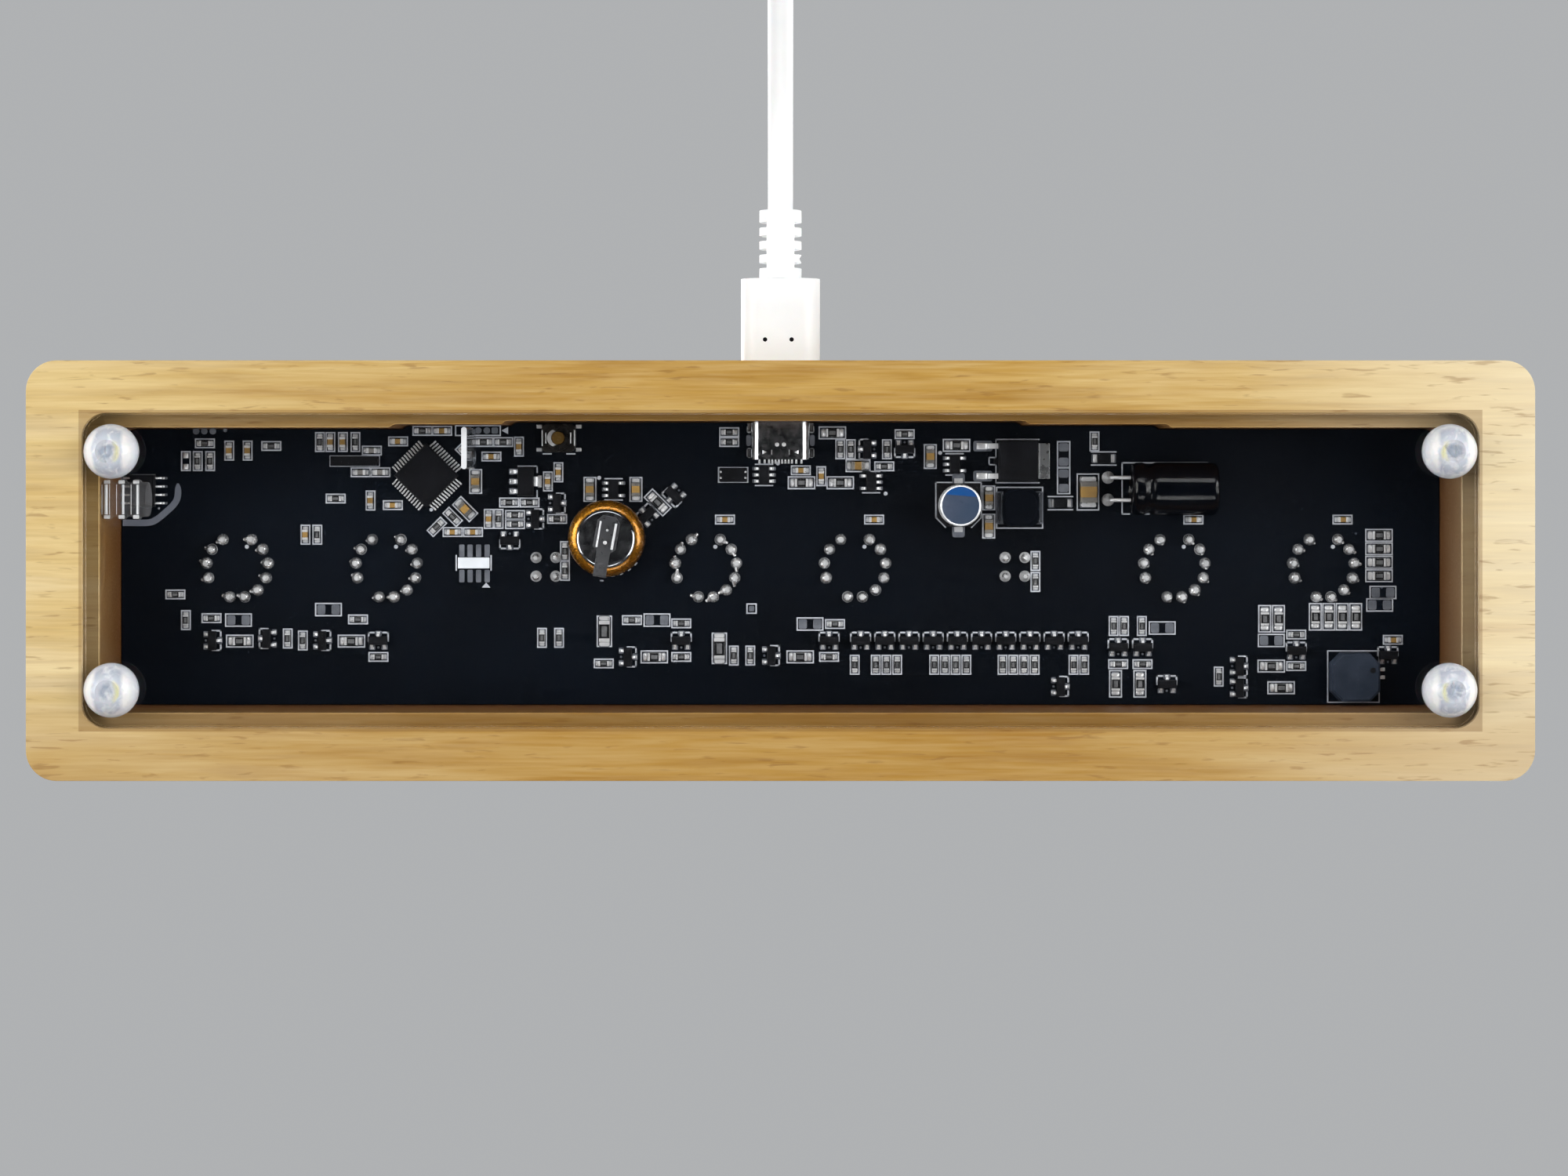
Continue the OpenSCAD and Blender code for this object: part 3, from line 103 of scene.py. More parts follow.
class Look:
    """A material under construction: its Principled shader, and short ways to add nodes."""

    def __init__(self, name, roughness=0.5, metallic=0, ior=1.5, **constants):
        self.material = bpy.data.materials.new(name)
        self.material.use_nodes = True
        self.tree = self.material.node_tree
        self.shader = self.tree.nodes["Principled BSDF"]
        self.set(self.shader, Roughness=roughness, Metallic=metallic, IOR=ior, **constants)
        self.coordinates = self.node("ShaderNodeTexCoord").outputs["Object"]

    def set(self, node, **values):
        for key, value in values.items():
            node.inputs[key.replace("_", " ")].default_value = value

    def node(self, kind, **settings):
        n = self.tree.nodes.new(kind)
        for key, value in settings.items():
            setattr(n, key, value)
        return n

    def join(self, source, target):
        self.tree.links.new(source, target)

    def feed(self, value, target):
        """Links a socket, or sets a number or a colour."""
        if isinstance(value, bpy.types.NodeSocket):
            self.join(value, target)
        else:
            target.default_value = linear(*value) if hasattr(value, "__len__") else value

    def split(self):
        """The X, Y and Z of the place on the object."""
        n = self.node("ShaderNodeSeparateXYZ")
        self.join(self.coordinates, n.inputs[0])
        return list(n.outputs)

    def stretched(self, scale, turn=0.0, shift=(0, 0, 0)):
        n = self.node("ShaderNodeMapping")
        self.join(self.coordinates, n.inputs["Vector"])
        self.set(n, Scale=scale, Rotation=(0, 0, turn), Location=shift)
        return n.outputs["Vector"]

    def noise(self, scale, detail=3, distortion=0.0, vector=None):
        n = self.node("ShaderNodeTexNoise")
        self.join(vector or self.coordinates, n.inputs["Vector"])
        self.set(n, Scale=scale, Detail=detail, Distortion=distortion, Roughness=0.5)
        return n.outputs["Fac"]

    def ramp(self, value, *stops):
        n = self.node("ShaderNodeValToRGB")
        self.join(value, n.inputs["Fac"])
        points = n.color_ramp.elements
        while len(points) < len(stops):
            points.new(0.5)
        for point, (place, colour) in zip(points, stops):
            point.position = place
            point.color = linear(*colour) if hasattr(colour, "__len__") else (colour, colour, colour, 1)
        return n.outputs["Color"]

    def rise(self, value, start, end, top=1.0):
        return self.ramp(value, (start, 0.0), (end, top))

    def blend(self, a, b, share):
        n = self.node("ShaderNodeMix", data_type="RGBA", blend_type="MIX")
        for value, key in ((share, 0), (a, 6), (b, 7)):
            self.feed(value, n.inputs[key])
        return n.outputs[2]

    def maths(self, how, a, b=0.5):
        n = self.node("ShaderNodeMath", operation=how)
        self.feed(a, n.inputs[0])
        self.feed(b, n.inputs[1])
        return n.outputs[0]

    def times(self, a, *others):
        for b in others:
            a = self.maths("MULTIPLY", a, b)
        return a

    def less(self, a, b):
        return self.maths("SUBTRACT", a, b)

    def within(self, a, b, reach):
        """1 where both are under their reach, and 0 elsewhere."""
        return self.times(self.maths("LESS_THAN", a, reach[0]), self.maths("LESS_THAN", b, reach[1]))

    def colour(self, source):
        self.join(source, self.shader.inputs["Base Color"])

    def roughness(self, source):
        self.join(source, self.shader.inputs["Roughness"])

    def bump(self, height, strength, depth):
        n = self.node("ShaderNodeBump")
        self.join(height, n.inputs["Height"])
        self.set(n, Strength=strength, Distance=depth)
        self.join(n.outputs["Normal"], self.shader.inputs["Normal"])

    def path(self, kind):
        return self.node("ShaderNodeLightPath").outputs[kind]

    def vanish(self, share, tint=(1, 1, 1, 1)):
        """Lets the light straight through by a share."""
        clear = self.node("ShaderNodeBsdfTransparent")
        clear.inputs["Color"].default_value = tint
        mix = self.node("ShaderNodeMixShader")
        self.join(share, mix.inputs["Fac"])
        self.join(self.shader.outputs["BSDF"], mix.inputs[1])
        self.join(clear.outputs["BSDF"], mix.inputs[2])
        self.join(mix.outputs["Shader"], self.tree.nodes["Material Output"].inputs["Surface"])


def plain(name, dark, light, roughness=0.5, metallic=0, grain=900, bump=0.15, depth=0.00003, **constants):
    """A surface of one colour that varies a little, with a fine relief and an uneven gloss."""
    look = Look(name, roughness, metallic, **constants)
    fine = look.noise(grain * 3, 4)
    look.colour(look.ramp(look.noise(grain / 6), (0.3, dark), (0.7, light)))
    look.roughness(look.ramp(fine, (0.3, max(0.02, roughness - 0.07)), (0.7, min(1, roughness + 0.08))))
    look.bump(fine, bump, depth)
    return look.material


def wood():
    """Pale straw hardwood: soft golden bands, fine fibres and short dark flecks along X, with a painted sheen
    towards its ends and painted shade on the walls of its recess and cavity.
    """
    look = Look("hardwood", 0.45)
    bands = look.noise(1, 4, 1.3, look.stretched((13, 95, 95)))
    streaks = look.noise(1, 4, 0.8, look.stretched((34, 520, 520), 0.03))
    fibres = look.noise(1, 3, 0.2, look.stretched((110, 2600, 2600)))
    flecks = look.noise(1, 2, 0.3, look.stretched((210, 1500, 1500), -0.02, (0.3, 0.1, 0)))
    x, y, z = look.split()
    across, along = look.maths("ABSOLUTE", x), look.maths("ABSOLUTE", y)
    # Paler towards both ends along X: painted sheen from the side lamps, over a deeper-toned middle
    middle = look.ramp(bands, (0.3, (158, 113, 34)), (0.45, (174, 133, 50)), (0.58, (186, 146, 64)),
                       (0.75, (200, 166, 92)))
    ends = look.ramp(bands, (0.3, (200, 166, 100)), (0.45, (220, 196, 136)), (0.58, (228, 208, 156)),
                     (0.75, (236, 222, 182)))
    mixed = look.blend(middle, ends, look.rise(look.times(across, 9), 0.3, 0.97))
    warm = look.ramp(streaks, (0.34, (146, 100, 36)), (0.5, (192, 152, 80)), (0.68, (218, 190, 130)))
    mixed = look.blend(mixed, warm, 0.34)
    mixed = look.blend(mixed, look.ramp(fibres, (0.35, (168, 126, 58)), (0.65, (222, 196, 142))), 0.16)
    # One end is paler than the other, a painted highlight, and the front beam is deeper in tone than the rear
    # one
    mixed = look.blend(mixed, (244, 236, 212), look.rise(look.times(x, -9), 0.6, 1.0, 0.42))
    mixed = look.blend(mixed, (150, 104, 36), look.rise(look.times(y, -20), 0.3, 0.5, 0.34))
    mixed = look.blend(mixed, (126, 82, 30), look.times(look.rise(flecks, 0.62, 0.72), 0.4))
    # Painted shade: the walls of the recess and the cavity are darkened, more so towards the board
    below = look.maths("LESS_THAN", z, CAVITY_TOP)
    recess_shade = look.times(look.within(across, along, RECESS_REACH), below)
    mixed = look.blend(mixed, (112, 70, 14), look.times(recess_shade, 0.42))
    cavity_shade = look.times(look.within(across, along, CAVITY_REACH), below)
    # The painted shade deepens from the ledge towards the board
    depth = look.ramp(look.times(z, 20), (0.136, 0.0), (0.15, 0.74), (0.4, 1.0))
    look.colour(look.blend(mixed, (80, 44, 6), look.times(cavity_shade, depth, 0.96)))
    look.roughness(look.ramp(fibres, (0.3, 0.4), (0.7, 0.54)))
    look.bump(look.blend(fibres, flecks, 0.5), 0.12, 0.00012)
    return look.material


def solder_mask():
    """Near-black solder mask with a blue cast, faint copper beneath it and specks of dust."""
    look = Look("solder_mask", 0.5, 0, 1.35, Specular_IOR_Level=0.14)
    base = look.ramp(look.noise(28), (0.3, (0, 2, 6)), (0.7, (3, 9, 18)))
    dust = look.node("ShaderNodeTexVoronoi")
    look.join(look.coordinates, dust.inputs["Vector"])
    look.set(dust, Scale=260)
    speck = look.ramp(dust.outputs["Distance"], (0.03, 1.0), (0.06, 0.0))
    look.colour(look.blend(base, (72, 80, 90), look.times(speck, look.rise(look.noise(95, 1), 0.6, 0.68))))
    look.roughness(look.ramp(look.noise(700, 2), (0.3, 0.4), (0.7, 0.55)))
    look.bump(look.noise(160, 2), 0.05, 0.00003)
    return look.material


def see_through(name, ior, roughness, tint=(1, 1, 1, 1), wave=0.0, scale=400):
    """Clear glass or plastic with a slightly uneven face, which casts no dark shadow."""
    look = Look(name, roughness, 0, ior, Transmission_Weight=1.0)
    look.shader.inputs["Base Color"].default_value = tint
    if wave:
        look.bump(look.noise(scale, 2), wave, 0.0001)
    look.vanish(look.path("Is Shadow Ray"), tint)
    return look.material


def thin_clear(name, body):
    """Clear moulding that is seen straight through, and whitish where its surface turns away from the view,
    which paints highlights along its edges.
    """
    look = Look(name, 0.1)
    look.colour(look.ramp(look.noise(700, 2), (0.3, body), (0.7, [v + 12 for v in body])))
    turned = look.node("ShaderNodeLayerWeight")
    turned.inputs["Blend"].default_value = 0.5
    # Painted highlights: opaque and whitish only where the surface is seen at a slant
    solid = look.ramp(turned.outputs["Facing"], (0.2, 0.03), (0.6, 0.05), (0.85, 0.14), (0.96, 0.85))
    look.vanish(look.maths("MAXIMUM", look.path("Is Shadow Ray"), look.less(1.0, solid)))
    return look.material


def frosted_rubber():
    """Soft translucent rubber: a clouded heart, with painted light in it: highlight crescents, a lighter ring
    near the rim, and a yellowish arc inwards that paints a reflection of the wood.
    """
    look = Look("frosted_rubber", 0.2, 0, 1.42,
                Transmission_Weight=0.1, Subsurface_Weight=0.2, Subsurface_Scale=0.0015)
    x, y, z = look.split()
    across = look.less(look.maths("ABSOLUTE", x), FOOT_AT[0])
    along = look.less(look.maths("ABSOLUTE", y), FOOT_AT[1])
    square = look.maths("ADD", look.times(across, across), look.times(along, along))
    swirl = look.noise(520, 4, 1.6)
    reach = look.maths("ADD", look.maths("SQRT", square), look.times(look.less(swirl, 0.5), 0.0009))
    # From 0 in the foot's middle to 1 at 5 mm
    reach = look.times(reach, 200)
    # The lighter ring near the rim, at 0.72, is painted light refracted at the dome's edge
    rings = look.ramp(
        reach, (0.0, (198, 206, 218)), (0.14, (172, 182, 198)), (0.26, (214, 218, 226)),
        (0.45, (206, 212, 222)), (0.62, (192, 198, 212)), (0.72, (222, 226, 234)), (0.8, (188, 194, 206)))
    rings = look.blend(rings, (250, 251, 252), look.rise(swirl, 0.5, 0.7, 0.7))
    # A yellowish arc on the side towards the clock's middle: a painted reflection of the wood
    inward = look.rise(look.times(across, -200), 0.12, 0.3)
    wood_reflection_arc = look.ramp(reach, (0.2, 0.0), (0.27, 1.0), (0.32, 1.0), (0.4, 0.0))
    rings = look.blend(rings, (240, 236, 178), look.times(inward, wood_reflection_arc, 0.8))
    # Painted highlights: bright crescents on the two sides of the foot that face the lamps
    sides = look.rise(look.times(look.maths("ABSOLUTE", across), 200), 0.34, 0.46)
    crescent_highlights = look.times(sides, look.ramp(reach, (0.42, 0.0), (0.5, 1.0), (0.62, 1.0), (0.72, 0.2)))
    look.colour(look.blend(rings, (255, 255, 254), crescent_highlights))
    look.bump(look.noise(800, 3, 0.8), 0.3, 0.0003)
    return look.material


def printed(name, dark, light):
    return plain(name, dark, light, 0.6, grain=2400, bump=0.1, depth=0.00001)


WOOD = wood()
MASK = solder_mask()
ACRYLIC = see_through("clear_acrylic", 1.49, 0.02)
GLASS = see_through("tube_glass_clear", 1.45, 0.0, (0.98, 0.99, 0.99, 1), 0.05, 90)
MOULDED_CLEAR = see_through("clear_moulding", 1.3, 0.1, (0.8, 0.83, 0.86, 1), 0.2, 600)
CLEAR_RIBS = thin_clear("clear_ribs", (206, 208, 212))
# A pale whitish paint for light: the lit near end of the fin and the highlights inside the light guide
FIN_EDGE = plain("painted_light_white", (206, 209, 212), (228, 230, 232), 0.35, Transmission_Weight=0.2)
RUBBER = frosted_rubber()
INK = printed("white_ink", (150, 154, 162), (176, 180, 187))
INK_BRIGHT = printed("white_block", (196, 202, 208), (216, 221, 226))
TIN = plain("solder", (188, 190, 193), (226, 227, 228), 0.34, 0.62, 700, 0.14)
DULL_END = plain("dull_end", (104, 102, 98), (146, 144, 140), 0.32, 0.6, 700, 0.14)
PAD = plain("tinned_pad", (84, 88, 96), (112, 116, 124), 0.42, 0.4, 2200, 0.2)
LEAD = plain("tinned_lead", (190, 192, 194), (232, 233, 234), 0.32, 0.6)
JOINT = plain("soldered_joint", (150, 152, 155), (244, 245, 246), 0.24, 0.86, 2400, 0.3, 0.00006)
EPOXY = plain("chip_epoxy", (8, 9, 12), (19, 20, 24), 0.5, 0, 1500, 0.3, Specular_IOR_Level=0.1)
CERAMIC = plain("capacitor_ceramic", (112, 86, 40), (146, 114, 54), 0.42, 0, 1900)
GREY_CERAMIC = plain("grey_ceramic", (92, 90, 88), (122, 120, 116), 0.45, 0, 1900)
ALUMINA = plain("alumina", (170, 172, 172), (205, 207, 206), 0.6, 0, 1900)
GLAZE = plain("resistor_glaze", (12, 13, 15), (22, 23, 26), 0.3, 0, 2600, Specular_IOR_Level=0.25)
MARKING = plain("resistor_marking", (62, 64, 66), (98, 99, 101), 0.5, 0, 5200)
STEEL = plain("steel_can", (166, 168, 172), (196, 198, 202), 0.14, 1, 300, 0.02, 0.00001)
CAN_FACE = plain("can_face", (34, 58, 82), (72, 80, 98), 0.34, 0.35, 520, 0.03, 0.00001)
CAN_RIM = plain("can_rim", (224, 227, 230), (240, 242, 244), 0.3, 0.5, 600)
STRAP_METAL = plain("strap_metal", (74, 75, 78), (100, 101, 104), 0.32, 0.8, 700, 0.1)
TAB_METAL = plain("tab_metal", (118, 120, 122), (160, 162, 164), 0.3, 0.85, 300, 0.1)
BARE_COPPER = plain("bare_band", (98, 104, 116), (118, 124, 136), 0.45, 0.3, 900, 0.1)
SHELL = plain("nickel_shell", (160, 160, 162), (196, 197, 199), 0.16, 1, 380, 0.02, 0.00001)
BRASS_SLEEVE = plain("gold_sleeve", (118, 72, 6), (178, 122, 30), 0.24, 0.85, 420, 0.3, 0.0002,
                     Coat_Weight=0.6)
BLUE = plain("blue_segment", (0, 54, 110), (1, 68, 128), 0.35, 0.1)
SLEEVE = plain("shrink_sleeve", (0, 0, 2), (3, 5, 9), 0.13, 0, 240, 0.1, 0.00005, Specular_IOR_Level=0.26)
FERRITE = plain("ferrite", (1, 3, 8), (5, 9, 16), 0.5, 0, 1400, 0.25, Specular_IOR_Level=0.05)
DULL_CLIP = plain("dull_clip", (44, 47, 52), (66, 70, 76), 0.4, 0.5, 1300, 0.1)
BUZZER_BLACK = plain("buzzer_case", (34, 42, 54), (50, 58, 72), 0.6, 0, 1500, 0.25, Specular_IOR_Level=0.12)
AMBER = plain("amber_button", (58, 42, 16), (96, 72, 30), 0.22, Coat_Weight=0.5)
DARK_COVER = plain("dark_cover", (38, 36, 34), (62, 59, 55), 0.28, 0.7, 260, 0.05)
BLACK_PLASTIC = plain("black_plastic", (8, 8, 10), (16, 16, 19), 0.45, 0, 1200, Specular_IOR_Level=0.15)
CABLE = plain("white_cable", (243, 245, 246), (250, 252, 253), 0.4, 0, 700, 0.12, 0.00005,
              Subsurface_Weight=0.08, Subsurface_Scale=0.001)
BASE_PLASTIC = plain("spacer_plastic", (196, 192, 180), (218, 214, 204), 0.55)
MESH_METAL = plain("dark_mesh", (62, 62, 64), (92, 92, 95), 0.35, 1, 1400)
CATHODE = plain("cathode_metal", (150, 148, 144), (188, 186, 182), 0.3, 1, 1400)

# ---- shapes, gathered in millimetres ----


class Shape:
    """Closed bodies gathered into one mesh, each with the place that it is given."""

    def __init__(self, *parts):
        self.points, self.faces = [], []
        for part, place in parts:
            self.add(part, place)

    def add(self, part, place=None):
        points, faces = part
        start = len(self.points)
        self.points += [place(p) for p in points] if place else list(points)
        self.faces += [[start + i for i in face] for face in faces]


def polar(r, degrees, x=0.0, y=0.0):
    """The point at a distance and an angle from another."""
    a = math.radians(degrees)
    return x + r * math.cos(a), y + r * math.sin(a)


def drum(rings):
    """Faces that join rings of equally many points, with flat ends."""
    sides = len(rings[0])
    points = [p for ring in rings for p in ring]
    faces = []
    for i in range(len(rings) - 1):
        for k in range(sides):
            a, b = i * sides + k, i * sides + (k + 1) % sides
            faces.append((a, b, b + sides, a + sides))
    return points, faces + [tuple(reversed(range(sides))), tuple(range(len(points) - sides, len(points)))]


def centre(outline):
    return sum(p[0] for p in outline) / len(outline), sum(p[1] for p in outline) / len(outline)


def prism(outline, z0, z1, inset=0.0):
    """An outline raised from z0 to z1, its far end drawn in by an inset towards the middle."""
    cx, cy = centre(outline)
    k = 1 - inset / max(math.hypot(p[0] - cx, p[1] - cy) for p in outline)
    return drum([[(x, y, z0) for x, y in outline],
                 [(cx + (x - cx) * k, cy + (y - cy) * k, z1) for x, y in outline]])


def block(length, width, levels, x=0.0, y=0.0):
    """A block of square rings, given as (height, how much smaller all round) pairs."""
    return drum([[(x + sx * (length / 2 - less), y + sy * (width / 2 - less), z) for sx, sy in CORNERS]
                 for z, less in levels])


def slab(length, width, height, at=(0, 0, 0), draft=0.0):
    """A block on its foot at a point, its top smaller all round by a draft."""
    return block(length, width, ((at[2], 0), (at[2] + height, draft)), at[0], at[1])


def rounded(length, width, radius, steps=6, at=(0, 0)):
    """The outline of a rectangle with round corners."""
    points = []
    for n, (sx, sy) in enumerate(((1, 1), (-1, 1), (-1, -1), (1, -1))):
        corner = at[0] + sx * (length / 2 - radius), at[1] + sy * (width / 2 - radius)
        points += [polar(radius, 90 * n + 90 * i / steps, *corner) for i in range(steps + 1)]
    return points


def circle(r, sides):
    return [polar(r, 360 * k / sides) for k in range(sides)]


def lathe(profile, sides=32, at=(0, 0)):
    """A profile of (radius, height) pairs turned about the upright through a point."""
    return drum([[(at[0] + x, at[1] + y, z) for x, y in circle(max(r, 0.001), sides)] for r, z in profile])


def sweep(path, radius, sides=10):
    """A round rod along a path."""
    rings = []
    for i, point in enumerate(path):
        along = (Vector(path[min(len(path) - 1, i + 1)]) - Vector(path[max(0, i - 1)])).normalized()
        side = along.cross(Vector((0.31, 0.17, 0.93))).normalized()
        up = along.cross(side)
        r = radius[i] if hasattr(radius, "__len__") else radius
        rings.append([tuple(Vector(point) + r * (x * side + y * up)) for x, y in circle(1, sides)])
    return drum(rings)


def ring_line(outline, width, height, z=0.0):
    """A closed line along an outline, drawn inwards."""
    cx, cy = centre(outline)
    hx, hy = max(abs(p[0] - cx) for p in outline), max(abs(p[1] - cy) for p in outline)
    inner = [(cx + (x - cx) * (hx - width) / hx, cy + (y - cy) * (hy - width) / hy) for x, y in outline]
    n = len(outline)
    points = [(x, y, level) for level in (z, z + height) for ring in (outline, inner) for x, y in ring]
    faces = []
    for k in range(n):
        j = (k + 1) % n
        for a, b in ((0, n), (2 * n, 3 * n), (0, 2 * n), (n, 3 * n)):
            faces.append((a + k, a + j, b + j, b + k))
    return points, faces


def ink_path(points, width, height):
    """An open line of ink, as one flat block for each straight run."""
    parts = []
    for (x0, y0), (x1, y1) in zip(points, points[1:]):
        length = math.hypot(x1 - x0, y1 - y0)
        dx, dy = (x1 - x0) / length, (y1 - y0) / length
        cx, cy = (x0 + x1) / 2, (y0 + y1) / 2
        run, faces = slab(length + width, width, height)
        parts.append(([(cx + x * dx - y * dy, cy + x * dy + y * dx, z) for x, y, z in run], faces))
    return parts


BOARD_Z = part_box("main_board")[0].z / MM


def box(node):
    """A solid's lowest and highest corners in millimetres, and its middle seen from above."""
    low, high = (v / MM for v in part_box(node))
    return low, high, ((low.x + high.x) / 2, (low.y + high.y) / 2)


def under(x=0.0, y=0.0, turn=0.0):
    """Places a piece that is modelled upright so that it hangs under the board."""
    c, s = polar(1, turn)
    return lambda p: (x + p[0] * c - p[1] * s, y + p[0] * s + p[1] * c, BOARD_Z - p[2])


def smoothed(mesh, degrees):
    mesh.shade_smooth()
    mesh.set_sharp_from_angle(angle=math.radians(degrees))


def finished(name, mesh, work, material, body, bevel, segments, smooth, replaces):
    """An object of a mesh under work: smooth up to an angle, its edges softened, riding on a body."""
    work.to_mesh(mesh)
    work.free()
    mesh.materials.append(material)
    obj = placed(name, mesh)
    if smooth:
        smoothed(mesh, smooth)
    if bevel:
        edge = obj.modifiers.new("edge", "BEVEL")
        edge.width = bevel * MM
        edge.segments = segments
        edge.limit_method = "ANGLE"
        edge.angle_limit = math.radians(38)
        edge.harden_normals = True
    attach(obj, body)
    if replaces:
        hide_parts(*replaces)


def make(name, shape, material, body="clock", bevel=0.0, segments=2, smooth=35, replaces=()):
    """Turns a shape into an object."""
    mesh = bpy.data.meshes.new(name)
    mesh.from_pydata([(x * MM, y * MM, z * MM) for x, y, z in shape.points], [], shape.faces)
    work = bmesh.new()
    work.from_mesh(mesh)
    bmesh.ops.recalc_face_normals(work, faces=work.faces)
    finished(name, mesh, work, material, body, bevel, segments, smooth, replaces)


def softened(node, name, material, bevel, segments=2, body="clock"):
    """A CAD solid's own shape with its faces joined up and its edges softened, in place of the solid."""
    work = bmesh.new()
    work.from_mesh(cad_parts[node].data)
    bmesh.ops.remove_doubles(work, verts=work.verts, dist=1e-7)
    bmesh.ops.dissolve_limit(work, angle_limit=math.radians(0.5), verts=work.verts, edges=work.edges)
    finished(name, bpy.data.meshes.new(name), work, material, body, bevel, segments, 30, (node,))


def paint(node, material):
    """A CAD solid that keeps its shape gets its material."""
    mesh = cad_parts[node].data
    mesh.materials.clear()
    mesh.materials.append(material)
    smoothed(mesh, 32)


def islands(node):
    """The separate solids of a node, each as its list of points in millimetres."""
    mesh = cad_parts[node].data
    spot, parent, index = {}, [], []
    for v in mesh.vertices:
        key = tuple(round(c * 1e6) for c in v.co)
        if key not in spot:
            spot[key] = len(parent)
            parent.append(len(parent))
        index.append(spot[key])

    def root(i):
        while parent[i] != i:
            parent[i] = parent[parent[i]]
            i = parent[i]
        return i

    for face in mesh.polygons:
        first = root(index[face.vertices[0]])
        for v in face.vertices[1:]:
            parent[root(index[v])] = first
    groups = {}
    for key, i in spot.items():
        groups.setdefault(root(i), []).append(tuple(c / 1000 for c in key))
    return sorted(groups.values(), key=lambda g: (round(g[0][0], 3), round(g[0][1], 3)))


def chips(node):
    """Each chip of a node: how it hangs under the board, its middle, length, width and height.

    It is turned so that the side with more of it is at its front.
    """
    for points in islands(node):
        fits = []
        for turn in (0, 45):
            c, s = polar(1, turn)
            xs = [x * c + y * s for x, y, z in points]
            ys = [y * c - x * s for x, y, z in points]
            fits.append((max(xs) - min(xs), max(ys) - min(ys), turn, xs, ys))
        straight, slanted = fits
        closer = slanted[0] * slanted[1] < straight[0] * straight[1] - 1e-6
        length, width, turn, xs, ys = slanted if closer else straight
        mx, my = (max(xs) + min(xs)) / 2, (max(ys) + min(ys)) / 2
        c, s = polar(1, turn)
        x, y = mx * c - my * s, mx * s + my * c
        if width > length:
            turn += 90
            ys, length, width = [-v for v in xs], width, length
        if sum(ys) / len(ys) > (max(ys) + min(ys)) / 2 + 1e-4:
            turn += 180
        yield under(x, y, turn), x, y, length, width, BOARD_Z - min(p[2] for p in points)


# ---- cable: the route of the solids, with more points ----

# How far along each point of a run is, and what share of its fall is left
LEAD_ROUTE = ((0, 1), (4, 1), (10, 0.97), (16, 0.88), (22, 0.73), (28, 0.54), (34, 0.35), (40, 0.18),
              (46, 0.07), (52, 0.01), (58, 0), (64, 0))
TAIL_ROUTE = ((0, 1), (4, 1), (9, 0.94), (14, 0.76), (19, 0.5), (24, 0.24), (29, 0.06), (34, 0), (38, 0))
CORD_D = 3.8
FLOOR_Z = CORD_D / 2 + 0.05
COIL_LAYERS = 4
COIL_TURNS = 10.25
COIL_PITCH = CORD_D + 0.5
LAYER_TURNS = COIL_TURNS / COIL_LAYERS
COIL_INNER_R = 16
COIL_OUTER_R = COIL_INNER_R + COIL_PITCH * LAYER_TURNS
COIL_RINGS = 40
FAR_PLUG_Z = 7.6 / 2 + 0.05


def through(points, steps):
    """More points on the smooth curve through some points."""
    points = [Vector(p) for p in points]
    padded = [2 * points[0] - points[1]] + points + [2 * points[-1] - points[-2]]
    curve = []
    for a, b, c, d in zip(padded, padded[1:], padded[2:], padded[3:]):
        for t in (i / steps for i in range(steps)):
            curve.append(0.5 * (2 * b + (c - a) * t + (2 * a - 5 * b + 4 * c - d) * t * t
                                + (3 * b - a - 3 * c + d) * t ** 3))
    return curve + [points[-1]]


def coil_point(turn):
    """A point of the coil, which winds in and out again, and climbs a layer where it reverses."""
    layer, part = divmod(turn / LAYER_TURNS, 1)
    r = COIL_OUTER_R - COIL_PITCH * LAYER_TURNS * (part if layer % 2 == 0 else 1 - part)
    n = round(turn / LAYER_TURNS)
    level = min(COIL_LAYERS - 1, math.floor(turn / LAYER_TURNS))
    if 0 < n < COIL_LAYERS:
        s = min(1, max(0, (turn - n * LAYER_TURNS) * 2 + 0.5))
        level = n - 1 + s * s * (3 - 2 * s)
    return Vector((*polar(r, 360 * turn), COIL_PITCH * level))


grip_high = box("plug_grip")[1]
port_low = box("usb_receptacle")[0]
shell_low, shell_high, _ = box("plug_shell")
PORT_Z = (shell_low.z + shell_high.z) / 2
EXIT = Vector((0, grip_high.y, PORT_Z))
lead = [EXIT + Vector((0, along, (share - 1) * (PORT_Z - FLOOR_Z))) for along, share in LEAD_ROUTE]
coil_centre = lead[-1] + Vector((-COIL_OUTER_R, CORD_D, 0))
coil = [coil_centre + coil_point(i / COIL_RINGS) for i in range(round(COIL_TURNS * COIL_RINGS) + 1)]
coil_end = coil[-1] - Vector((CORD_D, 0, 0))
tail = [Vector((coil_end.x - along, coil_end.y, FAR_PLUG_Z + share * (coil_end.z - FAR_PLUG_Z)))
        for along, share in TAIL_ROUTE]
cable_points = through(lead, 4) + coil + through(tail, 4)

cable_curve = bpy.data.curves.new("cable", "CURVE")
cable_curve.dimensions = "3D"
cable_curve.bevel_depth = CORD_D / 2 * MM
cable_curve.bevel_resolution = 5
cable_curve.use_fill_caps = True
spline = cable_curve.splines.new("POLY")
spline.points.add(len(cable_points) - 1)
for point, at in zip(spline.points, cable_points):
    point.co = (at.x * MM, at.y * MM, at.z * MM, 1)
spline.use_smooth = True
cable_curve.materials.append(CABLE)
cable = placed("cable", cable_curve)
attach(cable, "usb_cable")
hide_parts("cable_lead", "cable_coil", "cable_tail")

# ---- case, panel, feet and board ----

softened("wood_case", "case", WOOD, 0.35, 3)
softened("base_panel", "panel", ACRYLIC, 0.08, 1)
paint("main_board", MASK)
for foot in ("front_left", "front_right", "rear_left", "rear_right"):
    paint(f"foot_{foot}", RUBBER)

# ---- chips, with their solder, pads and printed outlines ----

